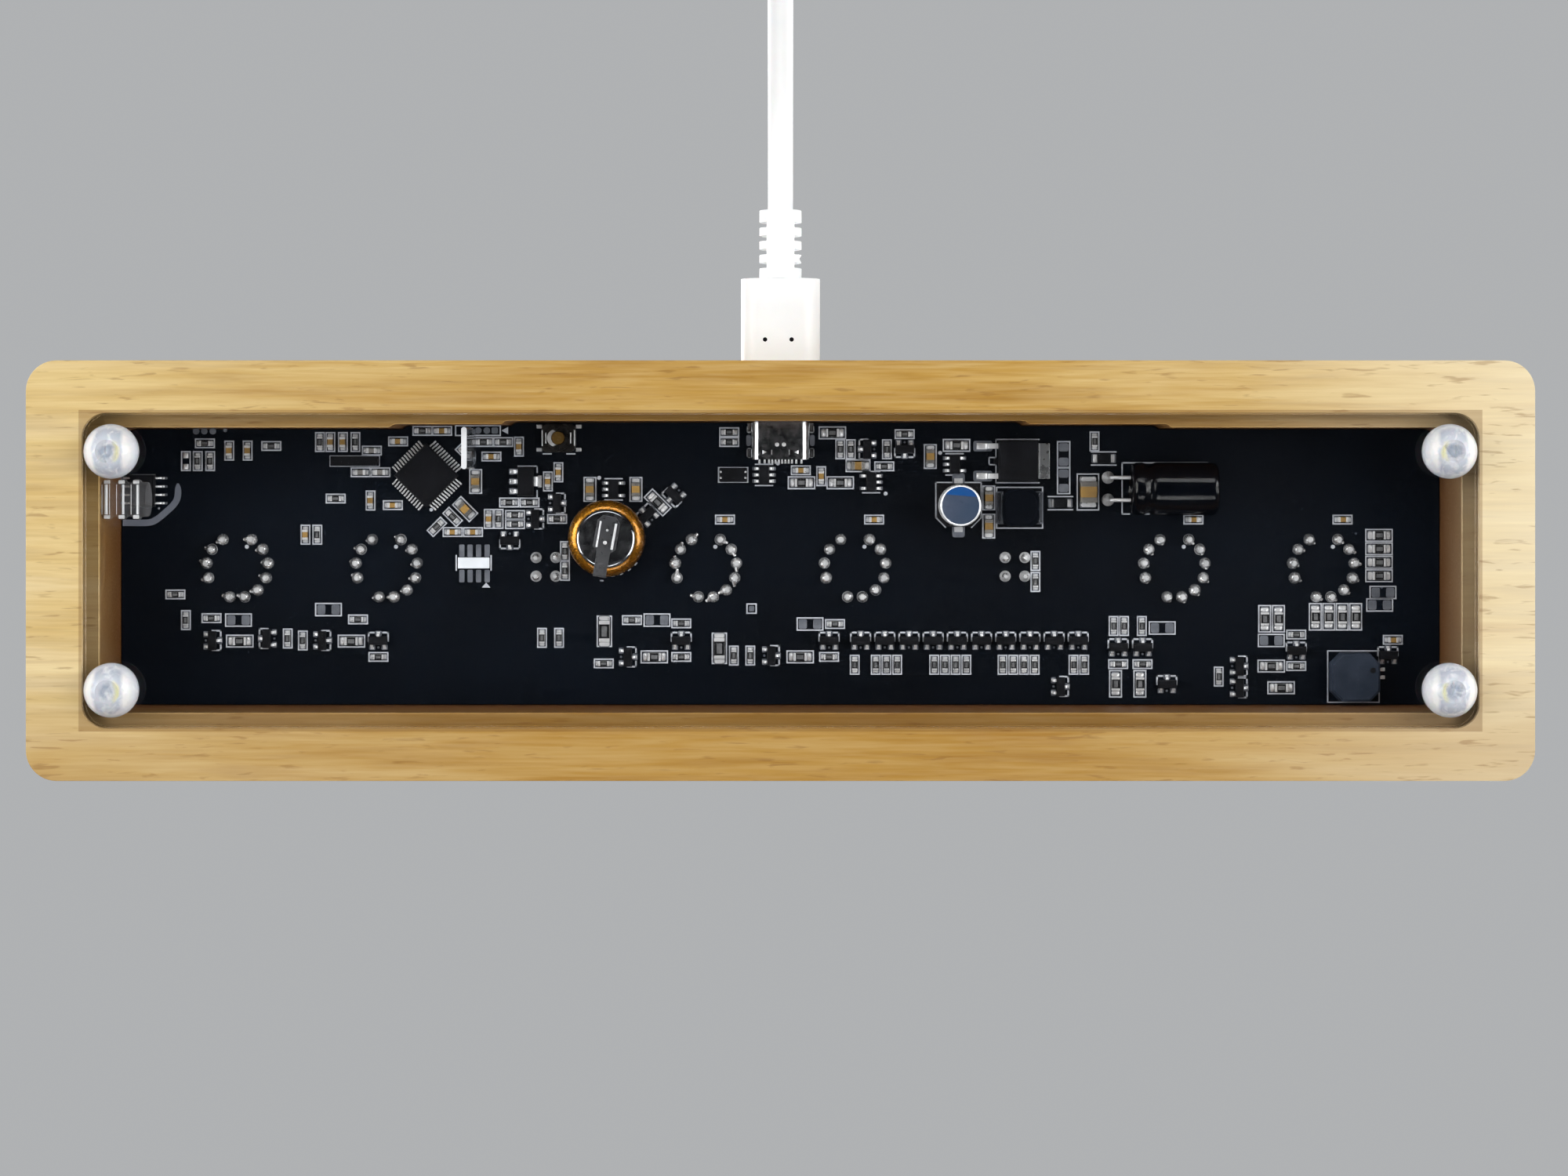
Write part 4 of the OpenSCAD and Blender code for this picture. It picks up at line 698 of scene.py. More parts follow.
INK_HEIGHT = 0.025
PAD_HEIGHT = 0.035
INK_WIDTH = 0.2
# A chip's moulded body starts this far under the board
STANDOFF = 0.08
# The lengths below which a chip resistor or capacitor is small, and medium
SMALL, MEDIUM = 1.9, 2.5
SMALL_FRAME = (3.05, 1.5)
# A capacitor wider than this has dull ends, and the ones in this area by the fork crystal are grey
DULL_W = 1.2
GREY_X, GREY_Y = (60, 64.5), (13.5, 18.5)
# From leg to leg on the three-, five- and six-legged packages
LEG_PITCH = 0.95
# How far the pads of a three-legged package are from its middle
TRIO_PAD_Y = 1.06

ink, pads, solder = Shape(), Shape(), Shape()
alumina, glaze, marking, ends, large_ends, ceramic, grey_ceramic, epoxy, legs = (Shape() for i in range(9))


def outline(place, length, width, line=INK_WIDTH):
    ink.add(ring_line([(sx * length / 2, sy * width / 2) for sx, sy in CORNERS], line, INK_HEIGHT), place)


def ink_lines(place, *paths, line=INK_WIDTH):
    for path in paths:
        for part in ink_path(path, line, INK_HEIGHT):
            ink.add(part, place)


def ink_dot(place, x, y, r):
    ink.add(lathe([(r, 0), (r, INK_HEIGHT)], 20, (x, y)), place)


def round_pad(place, x, y, r, sides=24):
    pads.add(lathe([(r, 0), (r, PAD_HEIGHT)], sides, (x, y)), place)


def pad(place, length, width, x, y):
    pads.add(prism(rounded(length, width, min(length, width) * 0.2, 3, (x, y)), 0, PAD_HEIGHT), place)


def fillet(place, side, x, width, reach, rise):
    """Solder that climbs from its pad up one end of a part."""
    profile = [(reach * a, rise * b)
               for a, b in ((0, 0), (1, 0), (0.9, 0.16), (0.45, 0.34), (0.14, 0.68), (0, 1))]
    solder.add(drum([[(side * (x + a * k), side * y * width / 2, b * k) for a, b in profile]
                     for y, k in ((-1, 0.72), (-0.8, 1), (0.8, 1), (1, 0.72))]), place)


def two_ended(place, length, width, height, kind, medium_frame, large_frame):
    """A chip resistor or capacitor between its two soldered ends, inside its printed frame."""
    end = length * (0.17 if kind == "resistor" else 0.25)
    reach = 0.46 if length < SMALL else 0.74
    end_shape = ends
    if kind == "resistor":
        alumina.add(slab(length - 0.08, width - 0.03, height - 0.07), place)
        glaze.add(slab(length - 2 * end + 0.04, width - 0.06, 0.06, (0, 0, height - 0.09)), place)
        marking.add(slab((length - 2 * end) * 0.74, width * 0.5, 0.01, (0, 0, height - 0.035)), place)
    else:
        end_shape = large_ends if width > DULL_W else ends
        core = grey_ceramic if kind == "grey" else ceramic
        core.add(slab(length - 0.08, width - 0.05, height - 0.06, (0, 0, 0.02)), place)
    for side in SIDES:
        end_shape.add(slab(end, width, height - 0.02, (side * (length - end) / 2, 0, 0.01)), place)
        pillow = rounded(reach, width * 1.02, reach * 0.4, 4, (side * (length / 2 + reach / 2 - 0.02), 0))
        solder.add(prism(pillow, 0.0, height * 0.55, min(0.16, reach * 0.3)), place)
        pad(place, reach + 0.3, width + 0.08, side * (length / 2 + reach / 2 - 0.1), 0)
    outline(place, *(SMALL_FRAME if length < SMALL else medium_frame if length < MEDIUM else large_frame))


def gull_leg(place, x, y, way, reach, width, shoulder, thick=0.14):
    """A bent leg that leaves the body at a point, steps down to its pad and lies on it."""
    run = [(-0.12, shoulder), (reach * 0.22, shoulder), (reach * 0.42, shoulder * 0.82), (reach * 0.5, thick),
           (reach * 0.66, 0.02), (reach, 0.02)]
    rise = ((0, 1), (0, 1), (0.8, 0.7), (0.8, 0.7), (0.3, 1), (0.3, 1))
    upper = [(a + thick * out, b + thick * up) for (a, b), (out, up) in zip(run, rise)]
    rings = []
    for shift in (-width / 2, width / 2):
        rings.append([(x + way[0] * a - way[1] * shift, y + way[1] * a + way[0] * shift, b)
                      for a, b in run + upper[::-1]])
    legs.add(drum(rings), place)
    long, wide = reach * 0.62, width * 1.25
    at = (x + way[0] * reach * 0.86, y + way[1] * reach * 0.86, 0.01)
    solder.add(slab(*((long, wide) if way[0] else (wide, long)), 0.07, at, 0.05), place)


def body_block(place, length, width, z0, z1, draft=0.08):
    """A moulded body: drafted both ways from its parting line."""
    middle = (z0 + z1) / 2
    levels = ((z0, draft * 0.6), (middle - 0.04, 0), (middle + 0.04, 0), (z1, draft))
    epoxy.add(block(length, width, levels), place)


for place, x, y, *size in chips("chip_resistors"):
    two_ended(place, *size, "resistor", (4.2, 1.98), (4.8, 2.35))
for place, x, y, *size in chips("chip_capacitors"):
    kind = "grey" if GREY_X[0] < x < GREY_X[1] and GREY_Y[0] < y < GREY_Y[1] else "capacitor"
    two_ended(place, *size, kind, (3.78, 1.98), (5.65, 3.45))
for place, x, y, length, width, height in chips("small_transistors"):
    body_block(place, length, 1.3, STANDOFF, height, 0.1)
    for lx in (-LEG_PITCH, LEG_PITCH):
        gull_leg(place, lx, -0.65, (0, -1), 0.6, 0.42, 0.48)
        pad(place, 0.92, 0.75, lx, -TRIO_PAD_Y)
    gull_leg(place, 0, 0.65, (0, 1), 0.6, 0.42, 0.48)
    pad(place, 1.0, 0.8, 0, TRIO_PAD_Y)
    for side in SIDES:
        ink_lines(place, [(side * 0.72, 1.2), (side * 1.48, 1.2), (side * 1.48, -0.05)], line=0.26)
    round_pad(place, 0, -TRIO_PAD_Y, 0.17, 16)

for place, x, y, length, width, height in chips("small_chips"):
    if abs(length - 2.9) < 0.05 and abs(width - 2.8) < 0.05:
        # The one by the port has six legs, the others five
        six = abs(x - 2.5) < 1
        place = under(x, y, -90) if six else place
        body_block(place, 2.9, 1.6, STANDOFF, height, 0.1)
        for lx in (-LEG_PITCH, 0, LEG_PITCH):
            gull_leg(place, lx, -0.8, (0, -1), 0.6, 0.4, 0.5)
            pad(place, 0.55, 0.95, lx, -1.3)
            if lx or six:
                gull_leg(place, lx, 0.8, (0, 1), 0.6, 0.4, 0.5)
                pad(place, 0.55, 0.95, lx, 1.3)
        for side in SIDES:
            ink_lines(place, [(side * 1.62, -1.3), (side * 1.62, 1.3)])
        ink_dot(place, *((-1.75, -2.1) if six else (1.75, -2.2)), 0.3)
    elif length > 4.45 and width > 4.4:
        # The three-legged regulator: its tab faces away from its legs
        place = under(x, y, 90)
        body_block(place, 4.5, 2.5, STANDOFF, height, 0.12)
        for lx in (-1.5, 0, 1.5):
            gull_leg(place, lx, -1.25, (0, -1), 1.05, 0.6, 0.7)
            pad(place, 0.95, 1.35, lx, -1.95)
        gull_leg(place, 0, 1.25, (0, 1), 0.95, 1.45, 0.7)
        pad(place, 1.6, 0.9, 0, 1.8)
        ink_lines(place, [(2.32, -1.2), (2.32, 1.66), (1.4, 1.66)], [(-1.4, 1.66), (-2.3, 1.66)])
    elif length < 2.7:
        # A diode between two printed lines
        body_block(place, length - 0.5, width - 0.1, STANDOFF, height, 0.1)
        for side in SIDES:
            ends.add(slab(0.5, width - 0.35, 0.42, (side * (length / 2 - 0.2), 0, 0.02), 0.05), place)
            fillet(place, side, length / 2 + 0.04, width - 0.3, 0.3, 0.34)
            pad(place, 1.0, width - 0.1, side * (length / 2 + 0.05), 0)
        ink_lines(place, [(-1.85, 1.0), (1.85, 1.0)], [(-1.85, -1.0), (1.85, -1.0)])
    elif length > 6:
        # The fork crystal's can
        epoxy.add(prism(rounded(length, width, width * 0.45), 0.02, height, 0.15), place)
        outline(place, length + 0.25, width + 0.3, 0.1)
    else:
        # An array with a bead of solder at each corner
        epoxy.add(slab(length - 0.3, width - 0.1, height - 0.06, (0, 0, 0.03), 0.06), place)
        bead = [(0.2, height * 0.5), (0.2, height * 0.8), (0.15, height + 0.02), (0.06, height + 0.05)]
        for sx, sy in QUARTERS:
            solder.add(lathe(bead, 12, (sx * 1.87, sy * 0.45)), place)
        outline(place, 4.65, 2.4)

# ---- larger chips ----

CHIP_TOP = 1.5
MCU_W, MCU_LEGS, MCU_PITCH = 7.0, 12, 0.5
mcu = under(*box("microcontroller")[2], 45)
body_block(mcu, MCU_W, MCU_W, 0.1, CHIP_TOP, 0.16)
for side in range(4):
    c, s = (round(v) for v in polar(1, 90 * side))
    for i in range(MCU_LEGS):
        offset = (i - (MCU_LEGS - 1) / 2) * MCU_PITCH
        gull_leg(mcu, c * MCU_W / 2 - s * offset, s * MCU_W / 2 + c * offset, (c, s), 1.0, 0.22, 0.72)
dimple = lathe([(0.45, CHIP_TOP - 0.01), (0.45, CHIP_TOP + 0.005), (0.38, CHIP_TOP + 0.005)], 24,
               (-2.2, -2.2))

# The timekeeping chip sits further out than its solid
RTC_SHIFT, RTC_PITCH = 0.8, 1.27
rtc_x, rtc_y = box("clock_chip")[2]
rtc = under(rtc_x + RTC_SHIFT, rtc_y)
body_block(rtc, 3.9, 4.9, 0.1, CHIP_TOP, 0.12)
for side in SIDES:
    for y in ((i - 1.5) * RTC_PITCH for i in range(4)):
        gull_leg(rtc, side * 1.95, y, (side, 0), 1.05, 0.28, 0.75)
        pad(rtc, 1.3, 0.36, side * 2.95, y)
ink_lines(rtc, [(-1.7, 2.42), (1.7, 2.42)], line=0.15)
ink_dot(rtc, -2.3, -2.7, 0.16)

TRANSISTOR_X, TRANSISTOR_LEG_Y = -36.1, 2.28
dpak = under(TRANSISTOR_X, box("power_transistor")[2][1])
body_block(dpak, 6.1, 6.4, 0.12, 2.3, 0.16)
tab = Shape((slab(2.5, 5.4, 0.5, (-3.6, 0, 0.05)), dpak), (slab(0.3, 5.4, 1.0, (-3.15, 0, 0.05)), dpak))
for side in SIDES:
    gull_leg(dpak, 3.05, side * TRANSISTOR_LEG_Y, (1, 0), 2.75, 0.8, 1.0, 0.3)
    pad(dpak, 2.9, 1.6, 5.3, side * TRANSISTOR_LEG_Y)
epoxy.add(slab(0.8, 0.75, 0.5, (3.3, 0, 0.8), 0.05), dpak)
ink_lines(dpak, [(-3.25, 3.3), (3.3, 3.3), (3.3, 0.55), (4.35, 0.55), (4.35, -0.55), (3.3, -0.55),
                 (3.3, -3.3), (-3.25, -3.3)])
make("chip_dimples", Shape((dimple, mcu)), BLACK_PLASTIC, smooth=0)
make("transistor_tab", tab, TAB_METAL, bevel=0.08)

make("resistor_cores", alumina, ALUMINA, bevel=0.03, segments=1,
     replaces=("chip_resistors",))
make("resistor_glazes", glaze, GLAZE, bevel=0.02, segments=1)
make("resistor_markings", marking, MARKING, smooth=0)
make("chip_ends", ends, TIN, bevel=0.06)
make("large_ends", large_ends, DULL_END, bevel=0.06)
make("capacitor_cores", ceramic, CERAMIC, bevel=0.07, replaces=("chip_capacitors",))
make("grey_capacitor_cores", grey_ceramic, GREY_CERAMIC, bevel=0.07)
make("chip_bodies", epoxy, EPOXY, bevel=0.05,
     replaces=("small_transistors", "small_chips", "microcontroller", "clock_chip", "power_transistor"))

# ---- printed places without a part ----


def empty_pair(x, y, turn, spread, size, frame_size):
    place = under(x, y, turn)
    for side in SIDES:
        pad(place, *size, side * spread, 0)
    outline(place, *frame_size)


EMPTY_PAIRS = ((82.5, -8.1, 0), (68.8, -6.5, 0), (18.8, -8.1, 0), (-4.5, -8.7, 0), (-58.1, -9.3, 0),
               (-74.7, -11.2, 0), (-91.7, -3.9, 0), (-91.2, -5.8, 0), (-43.1, 17.1, 90), (-43.1, 13.1, 90))
for spot in EMPTY_PAIRS:
    empty_pair(*spot, 1.1, (1.25, 1.45), (4.1, 2.05))
empty_pair(90.5, 16.1, 90, 0.85, (0.8, 0.8), SMALL_FRAME)
on_board = under()
for side in SIDES:
    solder.add(slab(0.78, 0.82, 0.1, (90.5, 16.1 + side * 0.85, 0.02), 0.06), on_board)
ink_dot(on_board, 53.16, 8.71, 0.27)
header = under(46.05, 20.75)
outline(header, 7.0, 1.7)
for place, x, y, r in ((on_board, 88.95, 20.65, 0.5), (on_board, 87.7, 20.65, 0.5),
                       (on_board, 86.4, 20.65, 0.5), (on_board, 84.5, 20.8, 0.3),
                       (header, 1.25, 0, 0.5), (header, -0.05, 0, 0.5), (header, -1.35, 0, 0.5)):
    round_pad(place, x, y, r)
pad(header, 0.95, 0.95, -2.55, 0)
ink.add(prism([(-3.6, 0), (-4.6, 0.55), (-4.6, -0.55)], 0, INK_HEIGHT), header)
socket = under(46.7, 0.6)
for x in (1.8, 0.55, -0.75, -2.05):
    pad(socket, 0.8, 1.9, x, 1.85)
    pad(socket, 0.8, 1.9, x, -2.0)
make("white_block", Shape((slab(4.8, 1.65, INK_HEIGHT), socket)), INK_BRIGHT, smooth=0)
for side in SIDES:
    ink_lines(socket, [(side * 2.65, -1.1), (side * 2.65, 1.1)])
ink.add(prism([(-1.9, -3.0), (-1.25, -3.75), (-2.55, -3.75)], 0, INK_HEIGHT), socket)
test_point = under(4.4, -6.35)
outline(test_point, 1.6, 1.6)
pad(test_point, 0.8, 0.8, 0, 0)

# ---- tube and lamp joints ----

joints = Shape()
LEAD_R = 0.25
# The tubes' leads stand on 13 places of a ring, of which two are empty
LEAD_PLACES, EMPTY_PLACES, LEAD_RING_R = 13, (0, 8), 4.7
COLON_LEAD_X, COLON_LEAD_Y = 1.5, 1.425
# The radius of a joint's foot, and its height
TUBE_JOINT, COLON_JOINT = (0.86, 1.16), (0.62, 1.3)
# Which way each tube's leads are bent, in degrees, and how far beyond the joint they reach
TUBE_TAILS = ((200, 1.15), (240, 1.02), (None, 1), ("round", 1.4), (5, 1.12), (0, 1.25))


def joint(x, y, foot_r, height, tail=None, stretch=1.2):
    """A blob of solder round a lead's end, a little uneven as hand soldering is."""
    lean = RNG.uniform(-0.12, 0.12), RNG.uniform(-0.12, 0.12)
    wide = foot_r * RNG.uniform(0.94, 1.06)
    profile = [(wide * x, height * y) for x, y in (polar(1, t) for t in range(0, 90, 11))]
    points, faces = lathe(profile + [(0.02, height)], 24)
    joints.add(([(px + lean[0] * pz, py + lean[1] * pz, pz) for px, py, pz in points], faces), under(x, y))
    if tail is not None:
        # The end of the lead, bent over and cut off
        reach = foot_r * stretch * RNG.uniform(0.9, 1.08)
        run = [(*polar(reach * k, tail), height * up)
               for k, up in ((0.3, 0.6), (0.6, 0.5), (0.85, 0.36), (1, 0.32), (1.06, 0.32))]
        joints.add(sweep(run, [LEAD_R * k for k in (2.2, 1.5, 1, 1.05, 0.5)]), under(x, y))


for n, (bent, stretch) in enumerate(TUBE_TAILS, 1):
    middle = box(f"tube_glass_{n}")[2]
    for i in range(LEAD_PLACES):
        if i in EMPTY_PLACES:
            continue
        angle = 90 + i * 360 / LEAD_PLACES
        tail = angle + 90 if bent == "round" else bent
        if tail is not None:
            tail += RNG.uniform(-24, 24)
        joint(*polar(LEAD_RING_R, angle, *middle), *TUBE_JOINT, tail, stretch)
    # The printed dot that marks the first lead
    x, y = polar(LEAD_RING_R, 90 + 360 / LEAD_PLACES, *middle)
    ink_dot(on_board, x + 0.75, y - 1.1, 0.31)
for side in ("left", "right"):
    colon_x = box(f"colon_glass_{side}")[2][0]
    for sx, sy in QUARTERS:
        joint(colon_x + sx * COLON_LEAD_X, sy * COLON_LEAD_Y, *COLON_JOINT)
make("soldered_joints", joints, JOINT, smooth=60)

# ---- ribbon of bare metal by the light guide ----

BAND_PATH = ((100.1, 6.7), (98.2, 6.7), (96.1, 6.75), (94.9, 7.25), (93.6, 8.3), (92.35, 9.5), (91.75, 10.7),
             (91.7, 12.7))
BAND_W = 0.98
# The far end is round
ROUND_END = (0.97, 0.86, 0.62, 0.25)
run = [(p.x, p.y) for p in through([(x, y, 0) for x, y in BAND_PATH], 6)]
edges = []
for i, (x, y) in enumerate(run):
    (ax, ay), (bx, by) = run[max(0, i - 1)], run[min(len(run) - 1, i + 1)]
    end = i - len(run) + len(ROUND_END)
    k = BAND_W / 2 * (1 if end < 0 else ROUND_END[end]) / math.hypot(bx - ax, by - ay)
    dx, dy = -(by - ay) * k, (bx - ax) * k
    edges.append(((x + dx, y + dy), (x - dx, y - dy)))
band = Shape()
for (a0, b0), (a1, b1) in zip(edges, edges[1:]):
    band.add(drum([[(*p, z) for p in (a0, a1, b1, b0)] for z in (0, PAD_HEIGHT)]), on_board)
make("bare_band", band, BARE_COPPER, smooth=0)

# ---- backup cell ----

low, high, (cell_x, _) = box("backup_cell")
CELL_R = (high.x - low.x) / 2
cell_y = high.y - CELL_R
cell = under(cell_x, cell_y)
sleeve = [(4.45, 0.12), (4.45, 1.3)] + [(CELL_R - less, z) for less, z in (
    (0.25, 1.3), (0, 1.55), (0, 3.6), (0.12, 4.2), (0.55, 4.8), (1.05, 5.12), (1.35, 5.18), (1.42, 5.05))]
disc = [(4.5, 4.2), (4.5, 5.1), (4.42, 5.2), (4.3, 5.22), (4.2, 5.16), (4.1, 5.1), (3.9, 5.08), (0, 5.08)]
make("cell_sleeve", Shape((lathe(sleeve, 96), cell)), BRASS_SLEEVE, smooth=50,
     replaces=("backup_cell",))
make("cell_disc", Shape((lathe(disc, 96), cell)), STEEL, smooth=40)
STRAP_TURN, STRAP_TOP, RIDGE_Z = 10, 5.34, 5.3
strap_place = under(cell_x, cell_y, STRAP_TURN)
strap_outline = [(-1.0, 3.45), (-1.72, 2.6), (-1.72, -1.4), (-1.0, -2.1), (-1.0, -5.5),
                 (1.0, -5.5), (1.0, -2.1), (1.72, -1.4), (1.72, 2.6), (1.0, 3.45)]
strap_foot = [(-1.0, -5.85), (1.0, -5.85), (1.0, -5.4), (-1.0, -5.4)]
rivet = [(0.68, 5.33), (0.62, 5.38), (0.5, 5.38), (0.44, 5.33)]
strap = Shape((prism(strap_outline, 5.12, STRAP_TOP, 0.06), strap_place),
              (prism(strap_foot, 0.0, 5.25, 0.04), strap_place), (lathe(rivet, 28, (0.0, -4.3)), strap_place))
ridges = Shape()
for side, thick in ((-1, 0.2), (1, 0.15)):
    ridges.add(sweep([(side * 1.18, 2.5, RIDGE_Z), (side * 1.16, -1.45, RIDGE_Z)], thick), strap_place)
for y, r in ((1.3, 0.2), (-0.6, 0.32)):
    ridges.add(lathe([(r, RIDGE_Z), (r * 0.8, 5.42), (r * 0.3, 5.46)], 16, (0.0, y)), strap_place)
make("cell_tab", strap, STRAP_METAL, bevel=0.06)
make("cell_ridges", ridges, TIN, smooth=60)
for x, y, turn in ((22.0, 0.45, -52), (23.0, -0.42, -35), (24.2, -1.06, -22), (25.5, -1.38, -8),
                   (27.2, -2.1, 6)):
    ink_lines(under(x, y, turn), [(-0.16, 0), (0.16, 0)])

# ---- high-voltage capacitor ----

low, high, (_, cap_y) = box("high_voltage_capacitor")
CAP_START, CAP_AXIS = -52.9, 4.1
length = CAP_START - low.x
profile = [(0.0, 0.25), (2.6, 0.25), (2.75, 0.0), (3.2, 0.0), (3.7, 0.2), (3.95, 0.7), (4.0, 1.6),
           (3.85, 2.1), (3.55, 2.5), (3.55, 2.8), (3.85, 3.2), (4.0, 3.7)]
profile += [(r, length - less)
            for r, less in ((4.0, 0.9), (3.9, 0.35), (3.5, 0.05), (3.0, 0), (2.9, 0.12), (0, 0.12))]


def lying(p):
    """Lays a piece that is modelled upright along the capacitor's axis."""
    return CAP_START - p[2], cap_y + p[1], BOARD_Z - CAP_AXIS - p[0]


make("hv_capacitor_can", Shape((lathe(profile, 64), lying)), SLEEVE, smooth=45,
     replaces=("high_voltage_capacitor",))
wires = Shape()
WIRE_Y, WIRE_REACH = 1.7, 3.05
for side in SIDES:
    bend = [(0.05, 0), (1.6, 0), (2.5, 0.12), (2.95, 0.6), (WIRE_REACH, 1.4), (WIRE_REACH, CAP_AXIS)]
    wires.add(sweep([(CAP_START + x, cap_y + side * WIRE_Y, BOARD_Z - CAP_AXIS + drop)
                     for x, drop in bend], 0.28))
    wires.add(lathe([(0.95, 0), (0.9, 0.14), (0.6, 0.42), (0.36, 0.85), (0.3, 1.1)], 24),
              under(CAP_START + WIRE_REACH, cap_y + side * WIRE_Y))
make("hv_capacitor_leads", wires, TIN, smooth=60)
FRAME_X, FRAME_TOP, FRAME_FOOT = -52.0, 15.84, 8.04
ink_lines(on_board, [(-65.0, FRAME_TOP), (FRAME_X, FRAME_TOP), (FRAME_X, FRAME_FOOT), (-53.1, FRAME_FOOT)],
          [(-54.7, FRAME_FOOT), (-56.1, FRAME_FOOT)])

# ---- upright can capacitor ----

CAN_R, CAN_H, FOOT_W, CHAMFER = 3.15, 5.8, 3.3, 1.4
can_middle = box("can_capacitor")[2]
can_place = under(*can_middle)
can_foot = [(-FOOT_W, FOOT_W), (FOOT_W, FOOT_W), (FOOT_W, CHAMFER - FOOT_W), (FOOT_W - CHAMFER, -FOOT_W),
            (CHAMFER - FOOT_W, -FOOT_W), (-FOOT_W, CHAMFER - FOOT_W)]
make("can_foot", Shape((prism(can_foot, 0.05, 1.2), can_place)), BLACK_PLASTIC, bevel=0.15,
     replaces=("can_capacitor",))
can = [(CAN_R - less, z) for less, z in (
    (0.2, 1.2), (0, 1.35), (0, 1.6), (0.3, 2.0), (0.3, 2.3), (0, 2.7), (0, CAN_H - 0.5), (0.12, CAN_H - 0.15),
    (0.4, CAN_H))]
make("can_body", Shape((lathe(can + [(0, CAN_H)], 72), can_place)), CAN_RIM, smooth=40)
face = [(CAN_R - 0.34, CAN_H - 0.02), (CAN_R - 0.34, CAN_H + 0.012), (0, CAN_H + 0.012)]
make("can_face", Shape((lathe(face, 72), can_place)), CAN_FACE, smooth=40)
# The blue segment ends 1.5 mm from the middle
SEGMENT_R = CAN_R - 0.3
half = math.degrees(math.acos(1.5 / SEGMENT_R))
segment = [polar(SEGMENT_R, 90 - half * k / 12) for k in range(-12, 13)]
make("can_mark", Shape((prism(segment, CAN_H, CAN_H + 0.024), under(*can_middle, 5))), BLUE,
     smooth=0)
ink_lines(can_place, [(-3.45, -1.9), (-3.45, 3.45), (3.45, 3.45), (3.45, -1.9), (2.0, -3.35)],
          [(-3.45, -1.9), (-2.0, -3.35)])
for side in SIDES:
    pad(can_place, 1.9, 2.6, 0, side * 3.6)
    solder.add(slab(1.3, 1.2, 0.25, (0, side * 3.5, 0.03), 0.04), can_place)

# ---- inductor and buzzer ----

coil_place = under(*box("power_inductor")[2])
core = Shape((prism(rounded(5.8, 5.8, 1.6, 8), 0.1, 2.8, 0.12), coil_place),
             (prism(rounded(4.9, 5.6, 2.2, 8), 2.7, 2.86, 0.1), coil_place))
make("inductor_core", core, FERRITE, bevel=0.12, replaces=("power_inductor",))
clips = Shape()
for side in SIDES:
    clips.add(slab(0.9, 4.4, 0.8, (side * 2.95, 0, 0.05), 0.08), coil_place)
    clips.add(slab(0.35, 4.8, 2.5, (side * 2.78, 0, 0.05), 0.02), coil_place)
    pad(coil_place, 1.4, 5.0, side * 2.9, 0)
make("inductor_clips", clips, DULL_CLIP, bevel=0.08)
outline(coil_place, 7.2, 6.4)

buzzer_place = under(*box("buzzer")[2])
BUZZER_R = 3.75
BUZZER_FLAT = BUZZER_R - 1.6
octagon = [(-BUZZER_R, BUZZER_FLAT), (-BUZZER_R, -BUZZER_FLAT),
           (-BUZZER_FLAT, -BUZZER_R), (BUZZER_FLAT, -BUZZER_R),
           (BUZZER_R, -BUZZER_FLAT), (BUZZER_R, BUZZER_FLAT),
           (BUZZER_FLAT, BUZZER_R), (-BUZZER_FLAT, BUZZER_R)]
buzzer = Shape((prism(octagon, 0.15, 2.35, 0.12), buzzer_place),
               (prism([(x * 0.93, y * 0.93) for x, y in octagon], 2.3, 2.5, 0.1), buzzer_place))
make("buzzer_case", buzzer, BUZZER_BLACK, bevel=0.15, replaces=("buzzer",))
hole = lathe([(0.45, 2.4), (0.45, 2.52)], 20, (-2.5, 1.1))
make("buzzer_port", Shape((hole, buzzer_place)), BLACK_PLASTIC, smooth=40)
outline(buzzer_place, 8.0, 8.0, 0.18)
for y in (1.1, -0.1):
    gull_leg(buzzer_place, -BUZZER_R, y, (-1, 0), 0.9, 0.45, 0.5)

# ---- reset switch ----

switch = under(*box("reset_switch")[2])
cover = ring_line(rounded(5.1, 4.3, 0.9, 5), 1.35, 1.5, 0.1)
make("switch_frame", Shape((cover, switch)), DARK_COVER, bevel=0.12,
     replaces=("reset_switch",))
cheeks = Shape()
for side in SIDES:
    cheeks.add(slab(0.26, 2.5, 1.62, (side * 2.44, 0, 0.05), 0.05), switch)
    cheeks.add(slab(0.32, 1.7, 0.3, (side * 1.85, 0, 1.62), 0.12), switch)
make("switch_sides", cheeks, TIN, bevel=0.05)
plate = ring_line(circle(1.95, 24), 0.9, 0.35, 1.55)
make("switch_plate", Shape((plate, switch)), DARK_COVER, bevel=0.06)
# A bright crescent on the outer side of the button
crescent = [polar(1.32, t, 0.38) for t in range(-72, 73, 12)] + [polar(1.06, t) for t in range(72, -73, -12)]
feet = Shape((prism(crescent, 1.9, 1.97), switch))
for sx, sy in QUARTERS:
    feet.add(slab(0.9, 0.6, 0.3, (sx * 2.98, sy * 1.76, 0.03), 0.06), switch)
make("switch_feet", feet, TIN, bevel=0.05)
ink_lines(switch, [(-2.4, -2.4), (-1.2, -2.4)], [(1.2, -2.4), (2.4, -2.4)])
paint("reset_button", AMBER)

# ---- power port and plug ----

paint("usb_receptacle", SHELL)
PORT_TOP = BOARD_Z - port_low.z
